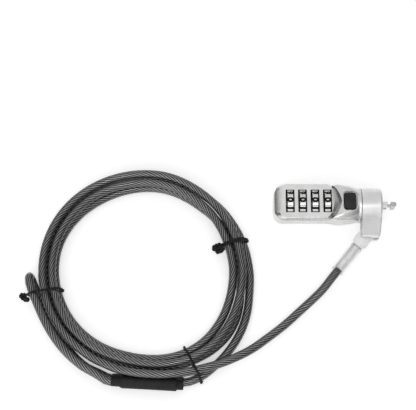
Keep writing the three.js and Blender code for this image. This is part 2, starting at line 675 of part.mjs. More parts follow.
function collar() {
  const counterbore = COLLAR_END - FLANGE_WIDTH - GAP;
  const seatRadius = FLANGE_RADIUS + GAP;
  const profile = [[COLLAR_START, COLLAR_BORE], [COLLAR_START, COLLAR_RADIUS]];
  for (let step = 0; step <= 4; step += 1) {
    const angle = (Math.PI / 2) * (1 - step / 4);
    profile.push([
      COLLAR_END - COLLAR_EDGE + COLLAR_EDGE * Math.cos(angle),
      COLLAR_RADIUS - COLLAR_EDGE + COLLAR_EDGE * Math.sin(angle),
    ]);
  }
  profile.push([COLLAR_END, seatRadius], [counterbore, seatRadius]);
  profile.push([counterbore, COLLAR_BORE], [COLLAR_START, COLLAR_BORE]);
  const ring = turned(profile, 48);
  const fork = plate(forkOutline(), FORK_BOTTOM, FORK_TOP, FORK_BEVEL);
  const bore = rod(COLLAR_START - 1, COLLAR_END + 1, COLLAR_BORE, 48);
  const seat = rod(counterbore, COLLAR_END + 1, seatRadius, 48);
  const half = FORK_GAP / 2;
  const throat = box(
    COLLAR_START - 3, COLLAR_END + 3, -FORK_END - 1, -FORK_THROAT, FORK_MIDDLE - half, FORK_MIDDLE + half,
  );
  const pinHole = post(PIVOT_X, -PIVOT_OFFSET, FORK_BOTTOM - 1, FORK_TOP - PIN_COVER, PIVOT_RADIUS + SEAT);
  return cut(joined(ring, fork), bore, seat, throat, pinHole);
}

function forkOutline() {
  const end = PIVOT_X - FORK_LEAN;
  return rounded(
    [
      [end - FORK_END_HALF, -FORK_END, FORK_CORNER],
      [end + FORK_END_HALF, -FORK_END, FORK_CORNER],
      [COLLAR_MIDDLE + FORK_ROOT_HALF, -COLLAR_BORE, 0.8],
      [COLLAR_MIDDLE - FORK_ROOT_HALF, -COLLAR_BORE, 0.8],
    ],
    4,
  );
}

function pivotPin() {
  const top = FORK_TOP - PIN_COVER - SEAT;
  return post(PIVOT_X, -PIVOT_OFFSET, FORK_BOTTOM + SEAT, top, PIVOT_RADIUS);
}

// ---------------------------------------------------------------- cable end fitting

// Built along +X from the pivot, then turned to the cable's direction.
function fittingMesh(name, solid, material) {
  const piece = mesh(name, solid, material);
  piece.position.copy(PIVOT);
  piece.rotation.z = CABLE_ANGLE;
  return piece;
}

function cableEye() {
  const taper = EYE_LENGTH - 3;
  const outline = [];
  for (let step = 0; step <= 14; step += 1) {
    const angle = Math.PI / 2 + (Math.PI * step) / 14;
    outline.push(new THREE.Vector2(EYE_RADIUS * Math.cos(angle), EYE_RADIUS * Math.sin(angle)));
  }
  outline.push(new THREE.Vector2(taper, -EYE_RADIUS), new THREE.Vector2(EYE_LENGTH, -EYE_WAIST));
  outline.push(new THREE.Vector2(EYE_LENGTH, EYE_WAIST), new THREE.Vector2(taper, EYE_RADIUS));
  const lug = plate(outline, -EYE_THICKNESS / 2, EYE_THICKNESS / 2, 0.4);
  return cut(lug, post(0, 0, -EYE_THICKNESS, EYE_THICKNESS, PIVOT_RADIUS + GAP));
}

function eyeFerrule() {
  const start = EYE_LENGTH + GAP;
  const round = 0.5;
  const body = turned([
    [start, 0], [start, FERRULE_RADIUS - round], [start + round, FERRULE_RADIUS],
    [FITTING_LENGTH - round, FERRULE_RADIUS], [FITTING_LENGTH, FERRULE_RADIUS - round],
    [FITTING_LENGTH, 0],
  ], 24);
  const middle = (start + FITTING_LENGTH) / 2;
  return cut(body, box(middle - 1.6, middle + 1.6, -1.4, 1.4, FERRULE_RADIUS - 0.7, FERRULE_RADIUS + 1));
}

function ferruleSheath() {
  const inner = FERRULE_RADIUS + GAP;
  const outer = inner + SHEATH_WALL;
  const start = EYE_LENGTH + GAP;
  const end = FITTING_LENGTH + SHEATH_OVERLAP;
  return turned([[start, inner], [start, outer], [end, outer], [end, inner], [start, inner]], 24);
}

// ---------------------------------------------------------------- cable routes

// A point by its angle about the coil's centre in degrees, its distance outside the coil's outer turn,
// and its height.
function aboutCoil([angle, outside, height]) {
  const turn = THREE.MathUtils.degToRad(angle);
  const radius = COIL_RADIUS + outside;
  return new THREE.Vector3(
    COIL_CENTRE[0] + radius * Math.cos(turn), COIL_CENTRE[1] + radius * Math.sin(turn), height,
  );
}

// Height of the coil's swellings at an angle, each a smooth hump.
function swelling(angle) {
  return COIL_SWELLINGS.reduce((sum, [middle, halfWidth, height]) => {
    const away = THREE.MathUtils.euclideanModulo(angle - middle + 180, 360) - 180;
    const share = Math.min(Math.abs(away) / halfWidth, 1);
    return sum + (height * (1 + Math.cos(Math.PI * share))) / 2;
  }, 0);
}

function slip(turns) {
  const angle = 360 * (turns % 1);
  const { smoothstep } = THREE.MathUtils;
  return COIL_SLIPS.filter(([turn]) => turn === Math.floor(turns)).reduce(
    (sum, [, inward, start, full, fade, end]) => (
      sum + inward * smoothstep(angle, start, full) * (1 - smoothstep(angle, fade, end))
    ),
    0,
  );
}

// In at a steady rate, then out again one layer higher, climbing about the reversal.
function coilPoint(turns) {
  const inward = STRAND_PITCH * Math.min(turns, 2 * COIL_REVERSAL - turns);
  const climb = THREE.MathUtils.smoothstep(
    turns, COIL_REVERSAL - COIL_CLIMB / 2, COIL_REVERSAL + COIL_CLIMB / 2,
  );
  const height = LOWER_LAYER + (UPPER_LAYER - LOWER_LAYER) * climb;
  return aboutCoil([360 * turns, swelling(360 * turns) - inward - slip(turns), height]);
}

// A straight run of one diameter, on from an end of the coil.
function coilEnd(turns, back) {
  const end = coilPoint(turns);
  return end.clone().add(end.clone().sub(coilPoint(turns + back)).setLength(CABLE_DIAMETER));
}

function coilPath() {
  const points = [coilEnd(0, 0.001)];
  for (let step = 0; step < COIL_TURNS * COIL_STEPS; step += 1) points.push(coilPoint(step / COIL_STEPS));
  points.push(coilPoint(COIL_TURNS), coilEnd(COIL_TURNS, -0.001));
  return points;
}

// Least gap between two stretches of the coil that are not near each other along the cable.
function leastCoilGap(path) {
  let least = Infinity;
  for (let i = 0; i < path.length; i += 1) {
    for (let j = i + COIL_STEPS / 2; j + 1 < path.length; j += 1) {
      const stretch = new THREE.Line3(path[j], path[j + 1]);
      const nearest = stretch.closestPointToPoint(path[i], true, new THREE.Vector3());
      least = Math.min(least, nearest.distanceTo(path[i]) - CABLE_DIAMETER);
    }
  }
  return least;
}

function coilSolid(path) {
  const rings = path.map((point, i) => {
    const before = path[Math.max(i - 1, 0)];
    const after = path[Math.min(i + 1, path.length - 1)];
    const along = after.clone().sub(before).normalize();
    const across = along.clone().cross(UP).normalize();
    return tubeRing(point, across.clone().cross(along), across, CABLE_RADIUS, COIL_SIDES);
  });
  return solidOf(loft(rings));
}

function routeCurve(points) {
  return new THREE.CatmullRomCurve3(points, false, 'centripetal');
}

function tube(curve, diameter, sides, steps) {
  const corners = Array.from({ length: sides }, (_, i) => {
    const angle = (2 * Math.PI * i) / sides;
    return new THREE.Vector2(Math.cos(angle), Math.sin(angle)).multiplyScalar(diameter / 2);
  });
  return solidOf(new THREE.ExtrudeGeometry(new THREE.Shape(corners), {
    steps, extrudePath: curve, bevelEnabled: false,
  }));
}

// Two points that lead a cable square out of a cut face: just clear of it, and one diameter on.
function squareStart(face, outward) {
  return [GAP, GAP + CABLE_DIAMETER].map((distance) => face.clone().addScaledVector(outward, distance));
}

// From the coil's upper end, down to the table and up into the ferrule at the lock.
function leadCurve(coil) {
  const end = coil[coil.length - 1];
  const onward = end.clone().sub(coil[coil.length - 2]).normalize();
  const route = [
    [-111, -0.1, 10], [-104, 0.7, 10.9], [-96, 1.3, 11.6], [-88, 2, 11.8], [-80, 3.2, 11.8],
    [-73, 4.4, 11.4], [-66.5, 5.7, 10.6], [-60, 7.3, 9.7], [-53, 9.8, 9.1], [-46, 12.7, 8.5],
    [-38, 16.4, 7], [-29.5, 20.6, 5.7], [-22.1, 25.8, 5.2], [-15.6, 31.4, 5.8], [-11.2, 36.5, 7.2],
    [-7.3, 41.6, 8.9],
  ].map(aboutCoil);
  const outward = new THREE.Vector3(Math.cos(CABLE_ANGLE), Math.sin(CABLE_ANGLE), 0);
  const ferrule = PIVOT.clone().addScaledVector(outward, FITTING_LENGTH);
  return routeCurve([...squareStart(end, onward), ...route, ...squareStart(ferrule, outward).reverse()]);
}

// The sleeve's directions: along it, and across it towards the coil.
function sleeveFrame() {
  const turn = THREE.MathUtils.degToRad(SLEEVE_ANGLE);
  const along = new THREE.Vector3(Math.cos(turn), Math.sin(turn), 0);
  const middle = new THREE.Vector3(...SLEEVE_MIDDLE, SLEEVE_RADIUS + SLEEVE_RISE / 2);
  return { along, across: UP.clone().cross(along), middle };
}

// Where a cable meets the ferrule in the sleeve. End is -1 towards the loop and 1 towards the tail,
// level is -1 for the lower cable, which lies nearer the coil, and 1 for the upper one.
function sleeveFace(end, level) {
  const { along, across, middle } = sleeveFrame();
  const face = middle.clone().addScaledVector(along, end * (SLEEVE_LENGTH / 2 - SLEEVE_MOUTH - GAP));
  face.addScaledVector(across, (-level * SLEEVE_SLANT) / 2);
  return face.addScaledVector(UP, (level * SLEEVE_RISE) / 2);
}

// From the sleeve under the lead, up the outside of the coil to its first turn.
function tailCurve(coil) {
  const { along } = sleeveFrame();
  const backward = coil[0].clone().sub(coil[1]).normalize();
  const route = [
    [-61.8, 9.5, LOWER_LAYER], [-55.1, 8.6, LOWER_LAYER], [-47.9, 7.6, LOWER_LAYER],
    [-39, 6.3, LOWER_LAYER], [-30.6, 4.9, LOWER_LAYER], [-21.8, 3.1, LOWER_LAYER],
    [-13.5, 1.3, LOWER_LAYER],
  ].map(aboutCoil);
  return routeCurve([
    ...squareStart(sleeveFace(1, -1), along), ...route, ...squareStart(coil[0], backward).reverse(),
  ]);
}

// Out of the sleeve as the upper strand, round the tip, and back under itself as the lower strand.
function loopCurve() {
  const backward = sleeveFrame().along.negate();
  const upper = [
    [-112.5, 6.8, 8.5], [-121.3, 6.4, 9.1], [-132.1, 5.5, 9.8], [-141.3, 4.7, 10.6], [-151.4, 4.2, 11.4],
    [-161.7, 4.5, 12.1], [-167.1, 5.3, 12.5], [-171.7, 6, 12.6],
  ];
  const tip = [[-174.5, 6.2, 11.3], [-175.7, 6, 8.1], [-174.6, 5.3, 4.9]];
  const lower = [
    [-171.7, 4.4, LOWER_LAYER], [-167, 2.8, LOWER_LAYER], [-161.6, 2.8, LOWER_LAYER],
    [-151.4, 2.8, LOWER_LAYER], [-141.2, 2.7, LOWER_LAYER], [-132, 3.4, LOWER_LAYER],
    [-121, 5, LOWER_LAYER], [-112.4, 5, LOWER_LAYER],
  ];
  return routeCurve([
    ...squareStart(sleeveFace(-1, 1), backward),
    ...[...upper, ...tip, ...lower].map(aboutCoil),
    ...squareStart(sleeveFace(-1, -1), backward).reverse(),
  ]);
}

// Slanted stadium round the two cables in the sleeve, in the plane across it.
function stadium(radius) {
  const spread = STRAND_PITCH / 2;
  const tilt = Math.atan2(SLEEVE_RISE, -SLEEVE_SLANT);
  const half = Array.from({ length: 9 }, (_, i) => {
    const angle = (Math.PI * i) / 8 - Math.PI / 2;
    return new THREE.Vector2(spread + radius * Math.cos(angle), radius * Math.sin(angle));
  });
  const whole = [...half, ...half.map((point) => point.clone().negate())];
  return whole.map((point) => point.rotateAround(new THREE.Vector2(), tilt));
}

function acrossSleeve(name, shape, length, material) {
  const geometry = new THREE.ExtrudeGeometry(shape, { depth: length, bevelEnabled: false });
  geometry.translate(0, 0, -length / 2);
  const { along, across, middle } = sleeveFrame();
  const piece = mesh(name, solidOf(geometry), material);
  piece.applyMatrix4(new THREE.Matrix4().makeBasis(across, UP, along));
  piece.position.copy(middle);
  return piece;
}

function loopSleeve() {
  const shape = new THREE.Shape(stadium(SLEEVE_RADIUS));
  shape.holes.push(new THREE.Path(stadium(SLEEVE_RADIUS - SLEEVE_WALL).reverse()));
  return acrossSleeve('loop_sleeve', shape, SLEEVE_LENGTH, BLACK);
}

function loopFerrule() {
  const shape = new THREE.Shape(stadium(SLEEVE_RADIUS - SLEEVE_WALL - GAP));
  return acrossSleeve('loop_ferrule', shape, SLEEVE_LENGTH - 2 * SLEEVE_MOUTH - 2 * GAP, STEEL);
}

// ---------------------------------------------------------------- wire ties

// Middles of the coil's strands in the half plane at one angle, as radius and height.
function coilStrands(angle) {
  const strands = [];
  const centre = new THREE.Vector3(...COIL_CENTRE, 0);
  for (let turns = ((angle + 360) % 360) / 360; turns < COIL_TURNS; turns += 1) {
    const point = coilPoint(turns).sub(centre);
    strands.push([Math.hypot(point.x, point.y), point.z, CABLE_RADIUS]);
  }
  return strands;
}

// Middles of a cable run in the same half plane, each with its half width there, which is more than the
// cable's radius where the run crosses the plane at a slant.
function runStrands(curve, angle) {
  const turn = THREE.MathUtils.degToRad(angle);
  const outward = new THREE.Vector3(Math.cos(turn), Math.sin(turn), 0);
  const around = UP.clone().cross(outward);
  const centre = new THREE.Vector3(...COIL_CENTRE, 0);
  const points = curve.getPoints(400).map((point) => point.sub(centre));
  const strands = [];
  for (let i = 1; i < points.length; i += 1) {
    const crosses = points[i - 1].dot(around) > 0 !== points[i].dot(around) > 0;
    if (crosses && points[i].dot(outward) > 0) {
      const along = points[i].clone().sub(points[i - 1]).setZ(0).normalize();
      const width = CABLE_RADIUS / Math.abs(along.dot(around));
      strands.push([points[i].dot(outward), points[i].z, width]);
    }
  }
  return strands;
}

function turnOf(a, b, c) {
  return (b.x - a.x) * (c.y - a.y) - (b.y - a.y) * (c.x - a.x);
}

// Convex outline round points, anticlockwise.
function hull(points) {
  const sorted = [...points].sort((a, b) => a.x - b.x || a.y - b.y);
  const chain = (list) => {
    const kept = [];
    list.forEach((point) => {
      while (kept.length > 1 && turnOf(kept[kept.length - 2], kept[kept.length - 1], point) <= 1e-6) {
        kept.pop();
      }
      kept.push(point);
    });
    return kept.slice(0, -1);
  };
  return [...chain(sorted), ...chain(sorted.reverse())];
}

// Outline round all the strands, at one distance from them.
function roundStrands(strands, distance) {
  return hull(strands.flatMap(([radius, height, width]) => Array.from({ length: 16 }, (_, i) => {
    const angle = (Math.PI * i) / 8;
    return new THREE.Vector2(
      radius + (width + distance) * Math.cos(angle),
      height + (CABLE_RADIUS + distance) * Math.sin(angle),
    );
  })));
}

// Band round the bundle at one angle, with its twisted end laid along a short route from that angle.
function tie(name, angle, width, strands, ends) {
  const shape = new THREE.Shape(roundStrands(strands, TIE_GAP + TIE_THICKNESS));
  shape.holes.push(new THREE.Path(roundStrands(strands, TIE_GAP).reverse()));
  const band = new THREE.ExtrudeGeometry(shape, { depth: width, bevelEnabled: false });
  band.translate(0, 0, -width / 2);
  const turn = THREE.MathUtils.degToRad(angle);
  const outward = new THREE.Vector3(Math.cos(turn), Math.sin(turn), 0);
  band.applyMatrix4(new THREE.Matrix4().makeBasis(outward, UP, outward.clone().cross(UP)));
  band.translate(COIL_CENTRE[0], COIL_CENTRE[1], 0);
  const tails = ends.map((points) => {
    const route = points.map(([away, outside, height]) => aboutCoil([angle + away, outside, height]));
    return tube(routeCurve(route), TIE_TAIL, 6, points.length * 3);
  });
  return mesh(name, joined(solidOf(band), ...tails), BLACK);
}

function ties(lead, tail, loop) {
  const [left, right, bottom] = TIE_ANGLES;
  const leftStrands = [...coilStrands(left), ...runStrands(loop, left)];
  const bottomStrands = [...coilStrands(bottom), ...runStrands(lead, bottom), ...runStrands(tail, bottom)];
  return [
    tie('tie_left', left, 1.6, leftStrands, [
      [[0, 7.6, 8], [-1.2, 10.6, 7.6], [-1.9, 12.8, 7], [0.2, 11, 6.4], [1.9, 8.7, 6]],
    ]),
    tie('tie_right', right, 2.8, coilStrands(right), [
      [[0, -14.1, 9], [-0.6, -16.9, 11], [-0.8, -20.2, 10.6], [1, -18.6, 9.4]],
    ]),
    tie('tie_bottom', bottom, 1.6, bottomStrands, [
      [[0, 12.7, 4.4], [0, 14.4, 4.2], [0.2, 15.4, 3.8]],
    ]),
  ];
}

// ---------------------------------------------------------------- assembly

function lockHead() {
  const head = new THREE.Group();
  head.position.copy(LOCK_ORIGIN);
  head.add(mesh('housing', housing(), NICKEL));
  head.add(mesh('dial_cover', dialCover(), NICKEL));
  head.add(mesh('dial_spindle', dialSpindle(), STEEL));
  head.add(mesh('detent_spring', detentSpring(), STEEL));
  dialPlaces().forEach((x, i) => {
    head.add(mesh(`dial_${i + 1}`, dialSolid(x), DIAL_SILVER));
    head.add(mesh(`code_ring_${i + 1}`, codeRing(x), BRASS));
  });
  head.add(mesh('release_button', button(), BLACK));
  head.add(mesh('button_spring', buttonSpring(), STEEL));
  head.add(mesh('locking_bar', lockingBar(), BRIGHT));
  head.add(mesh('nose_plug', nosePlug(), NICKEL));
  head.add(mesh('swivel_collar', collar(), SATIN));
  head.add(mesh('pivot_pin', pivotPin(), STEEL));
  return head;
}

function cableSet() {
  const cable = new THREE.Group();
  cable.add(fittingMesh('cable_eye', cableEye(), BRIGHT));
  cable.add(fittingMesh('eye_ferrule', eyeFerrule(), BRIGHT));
  cable.add(fittingMesh('ferrule_sheath', ferruleSheath(), CLEAR));
  const coil = coilPath();
  const lead = leadCurve(coil);
  const tail = tailCurve(coil);
  const loop = loopCurve();
  console.log(`least gap of the coil to itself: ${leastCoilGap(coil).toFixed(2)} mm`);
  cable.add(mesh('cable_coil', coilSolid(coil), CABLE));
  cable.add(mesh('cable_lead', tube(lead, CABLE_DIAMETER, CABLE_SIDES, 30), CABLE));
  cable.add(mesh('cable_tail', tube(tail, CABLE_DIAMETER, CABLE_SIDES, 20), CABLE));
  cable.add(mesh('cable_loop', tube(loop, CABLE_DIAMETER, CABLE_SIDES, 50), CABLE));
  cable.add(loopSleeve(), loopFerrule(), ...ties(lead, tail, loop));
  return cable;
}

const lock = new THREE.Group();
lock.add(lockHead(), cableSet());

export default lock;
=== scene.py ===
"""Looks of the laptop cable lock: a satin lock on a coiled steel rope in a smoky clear jacket."""

import math

import bmesh
import bpy
import numpy as np
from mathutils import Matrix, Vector


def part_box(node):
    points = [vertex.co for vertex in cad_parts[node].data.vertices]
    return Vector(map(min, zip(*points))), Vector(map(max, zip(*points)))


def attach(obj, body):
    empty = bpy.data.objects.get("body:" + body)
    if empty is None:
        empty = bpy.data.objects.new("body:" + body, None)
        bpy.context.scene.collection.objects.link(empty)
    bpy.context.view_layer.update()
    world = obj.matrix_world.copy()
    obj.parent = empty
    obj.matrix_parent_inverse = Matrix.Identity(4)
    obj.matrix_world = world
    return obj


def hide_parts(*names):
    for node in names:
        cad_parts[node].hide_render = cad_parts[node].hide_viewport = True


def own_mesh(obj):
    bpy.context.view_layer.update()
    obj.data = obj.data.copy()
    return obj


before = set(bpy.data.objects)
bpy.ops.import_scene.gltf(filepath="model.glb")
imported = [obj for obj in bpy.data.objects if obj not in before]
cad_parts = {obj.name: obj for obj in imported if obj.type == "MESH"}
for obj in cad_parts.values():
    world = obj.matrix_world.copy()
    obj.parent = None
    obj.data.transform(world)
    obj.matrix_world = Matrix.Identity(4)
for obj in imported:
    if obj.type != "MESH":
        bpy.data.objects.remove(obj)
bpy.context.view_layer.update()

MM = 0.001  # sizes are in millimetres, apart from those of camera, light and table

# Camera, light and table: places and sizes in metres, lens and sensor in millimetres, power in watts
CAMERA_PLACE = (-0.07295, -0.2292, 0.6905)
CAMERA_TILT = 19  # degrees from straight down
CAMERA_LENS = 108
CAMERA_SENSOR = 36  # width
TENT_LIGHT = (  # how far to the left or right, from 0 to 1, and its grey there
    (0, 0.92), (0.3, 0.84), (0.5, 0.62), (0.7, 0.32), (0.85, 0.13), (1, 0.05),
)
KEY_LAMP = {"place": (-0.55, -0.85, 0.75), "aim": (-0.04, -0.02, 0), "size": 1.5, "power": 4}
TOP_LAMP = {"place": (0, -0.3, 1), "aim": (0, 0, 0), "size": 0.2, "power": 0.65}
TABLE_HALF = 2.5
TABLE_GREY = 0.86
TABLE_GLOW = 0.42

# Cable, as in the solids
CABLE_DIAMETER = 4.8
STRAND_PITCH = 5.3  # from turn to turn
LOWER_LAYER = 3.65
UPPER_LAYER = LOWER_LAYER + STRAND_PITCH
COIL_CENTRE = (-108.6, -32.2)
COIL_RADIUS = 59.5
COIL_TURNS = 3.66
COIL_REVERSAL = 1.885  # turns to where it is innermost
COIL_CLIMB = 0.5  # turns that the rise to the upper layer takes
COIL_SWELLINGS = [(-55, 55, 4), (20, 28, -1.3), (50, 35, -1.2), (150, 55, 0.7)]  # angle, half width, height
COIL_SLIPS = [  # turn, how far in, between which angles it goes there and comes back
    (0, 1.4, 10, 55, 60, 110),
    (0, -2.2, 295, 325, 328, 356),
    (1, 2.9, 10, 55, 110, 175),
]
COIL_STEPS = 36  # to a turn
COIL_NEAR = 0.001  # turns from an end of the coil to where its direction is taken
CABLE_GAP = 0.3  # from a cable's cut end to what it meets
PIVOT = (20.0, -10.15, 10.4)
CABLE_ANGLE = 231  # degrees, from the lock along the cable
FITTING_LENGTH = 30.2  # from the pivot to the end of the ferrule

# Sleeve of the end loop
SLEEVE_MIDDLE = (-106.35, -96.85)
SLEEVE_ANGLE = -3.17
SLEEVE_LENGTH = 39.9
SLEEVE_RADIUS = 3.5
SLEEVE_MOUTH = 3
SLEEVE_SLANT = 2.7
SLEEVE_RISE = math.sqrt(STRAND_PITCH**2 - SLEEVE_SLANT**2)
SLEEVE_EASE = 0.12  # round the cables at its ends
SLEEVE_LIP = 0.1  # how far its ends turn in
SLEEVE_ARC_STEPS = 12
# Outside of the sleeve at places along it: distance from its middle, and what comes off its radius
SLEEVE_SHAPE = [
    (-19.95, 1.05), (-19.7, 0.88), (-18.5, 0.82), (-15.6, 0.8), (-14.9, 0.55), (-14.2, 0.05), (-13.6, 0),
    (0, 0.05), (15.6, 0), (16.1, 0.15), (16.5, 0.75), (18.8, 0.82), (19.7, 0.88), (19.95, 1.05),
]

# Ties
TIE_GAP = 0.35
TIE_BAND = 0.9  # thickness of the band that a tie's wire fills
TIE_WIRE = 0.42  # radius of each of its two strands
TIE_SIDES = 6
TIE_PRESSED = 0.92  # the strands press into each other by the rest
TIE_LAY = 3.2  # length of one whole twist
TIE_STEP = 0.42
TIE_SPACING = 1.5  # from round to round of one tie
TIE_CORNERS = 1.2  # least distance between the points of its route
TIE_LOW = 1.2  # the wire is squeezed where its route lies lower
TIE_SQUEEZED = 0.55
BUNDLE_SIDES = 20
STRAIGHT = 1e-6  # a corner of the bundle's outline turns by more

# Rope and jacket
ROPE_RADIUS = 2.1
ROPE_STRANDS = 9
ROPE_STRAND_STEPS = 4  # points across one strand
ROPE_LAY = 28  # length of one whole twist
ROPE_STEP = 2
JACKET_SIDES = 16
JACKET_STEP = 3
CURVE_STEPS = 12  # from one given point of a route to the next

# Dials
LOCK_LEFT = -35.3
DIAL_BODIES = ("dial_one", "dial_two", "dial_three", "dial_four")
DIAL_FIRST = 9.2  # from the lock's left end
DIAL_PITCH = 7.1
DIAL_CENTRES = [LOCK_LEFT + DIAL_FIRST + DIAL_PITCH * i for i in range(4)]
DIAL_AXIS = (4.55, 13.4)
DIAL_RADIUS = 8.3
DIAL_GROOVE = 0.45
DIAL_WIDTH = 3.9
DIGITS = 10
DIGIT_RADIUS = DIAL_RADIUS - DIAL_GROOVE
DIGIT_RAISED = 0.06
DIGIT_HEIGHT = 3.4
DIGIT_SPREAD = 1.45  # how much wider than the plain letter
DIGIT_WEIGHT = 0.055  # added to the letter's strokes, which is one unit high
DIGIT_STRIP = 0.35  # width of the strips that bend round the dial
DIGIT_CUTS = 4  # on each side of the middle
RIDGE_SHARE = 0.3
RIDGE_FOOT = 1.4  # width at the foot, in widths at the top
RIM_WIDTH = 0.42
RIM_RAISED = 0.04
RIM_DEPTH = 0.5

# Button and its spring
BUTTON_CENTRE = LOCK_LEFT + 43.4
SPRING_CURLS = 4
SPRING_STEPS = 20  # to a curl
SPRING_WIRE = 0.4
SPRING_SIDES = 8

# Parts of the solids painted dark as shade, along the lock from its left end, across it and upwards
TROUGH_ALONG = (5.4, 34.6)
TROUGH_HALF_WIDTH = 9.2
TROUGH_HEIGHTS = (3.9, 19.2)
COVER_FOOT = 16.9
FOOT_HEIGHTS = (16.6, 17.6)
POCKET_HALF = (4.3, 6)
POCKET_BOTTOM = 12
UPRIGHT = 0.3  # the normal of an upright face rises or falls less
POCKET_WALL = 0.5  # and that of the button's recess less than this
AWAY = 0.5  # what looks away from the dials' axis by more is outside
DIAL_SIDE = 0.7  # the normal of a dial's side has more along the lock
SHEATH_END = 0.6  # and that of the sheath's ends more along the cable

# Degrees up to which an edge of a solid is shaded as part of a curve
CURVE_LIMITS = {
    "housing": 50, "dial_cover": 35, "nose_plug": 30, "swivel_collar": 30, "release_button": 35,
    "locking_bar": 40, "cable_eye": 40, "eye_ferrule": 40, "ferrule_sheath": 40,
}
WELDED = 1e-6  # metres within which two corners are one

UP = np.array((0, 0, 1))


def grey(level):
    return (level, level, level, 1)


def add_object(name, data):
    thing = bpy.data.objects.new(name, data)
    bpy.context.scene.collection.objects.link(thing)
    return thing


# ---------------------------------------------------------------- camera and light


def make_camera():
    """The photograph's view: from the near side, 71 degrees above the table."""
    data = bpy.data.cameras.new("camera")
    data.lens = CAMERA_LENS
    data.sensor_width = CAMERA_SENSOR
    camera = add_object("camera", data)
    camera.location = CAMERA_PLACE
    camera.rotation_euler = (math.radians(CAMERA_TILT), 0, 0)
    bpy.context.scene.camera = camera


def make_world():
    """Soft light of a long white tent over the table, open and dark at its left and right ends."""
    world = bpy.data.worlds.new("studio")
    world.use_nodes = True
    nodes, links = world.node_tree.nodes, world.node_tree.links
    direction = nodes.new("ShaderNodeTexCoord")
    parts = nodes.new("ShaderNodeSeparateXYZ")
    aside = nodes.new("ShaderNodeMath")
    aside.operation = "ABSOLUTE"
    ramp = nodes.new("ShaderNodeValToRGB")
    links.new(direction.outputs["Generated"], parts.inputs["Vector"])
    links.new(parts.outputs["X"], aside.inputs[0])
    links.new(aside.outputs[0], ramp.inputs["Fac"])
    links.new(ramp.outputs["Color"], nodes["Background"].inputs["Color"])
    stops = ramp.color_ramp.elements
    for place, _ in TENT_LIGHT[1:-1]:
        stops.new(place)
    for stop, (_, level) in zip(stops, TENT_LIGHT):
        stop.color = grey(level)
    bpy.context.scene.world = world


def make_lamp(name, place, aim, size, power):
    data = bpy.data.lights.new(name, "AREA")
    data.shape = "DISK"
    data.size = size
    data.energy = power
    lamp = add_object(name, data)
    lamp.location = place
    lamp.rotation_euler = (Vector(aim) - Vector(place)).to_track_quat("-Z", "Y").to_euler()


def make_table():
    """White table that keeps the shadows and glows a little where it is seen, mirrored or not."""
    look = Look("white_table", grey(TABLE_GREY)[:3], specular=0)
    look.shader.inputs["Roughness"].default_value = 1
    look.shader.inputs["Emission Color"].default_value = grey(1)
    rays = look.nodes.new("ShaderNodeLightPath")
    seen = rays.outputs["Is Camera Ray"]
    for ray in ("Is Glossy Ray", "Is Transmission Ray"):
        either = look.nodes.new("ShaderNodeMath")
        either.operation = "MAXIMUM"
        look.links.new(seen, either.inputs[0])
        look.links.new(rays.outputs[ray], either.inputs[1])
        seen = either.outputs[0]
    glow = look.nodes.new("ShaderNodeMath")
    glow.operation = "MULTIPLY"
    glow.inputs[1].default_value = TABLE_GLOW
    look.links.new(seen, glow.inputs[0])
    look.links.new(glow.outputs[0], look.shader.inputs["Emission Strength"])
    mesh = bpy.data.meshes.new("floor")
    corners = [(x * TABLE_HALF, y * TABLE_HALF, 0) for x, y in ((-1, -1), (1, -1), (1, 1), (-1, 1))]
    mesh.from_pydata(corners, [], [(0, 1, 2, 3)])
    mesh.materials.append(look.material)
    add_object("floor", mesh)


# ---------------------------------------------------------------- materials


def start_material(name):
    """A new material with its nodes and links."""
    material = bpy.data.materials.new(name)
    material.use_nodes = True
    return material, material.node_tree.nodes, material.node_tree.links


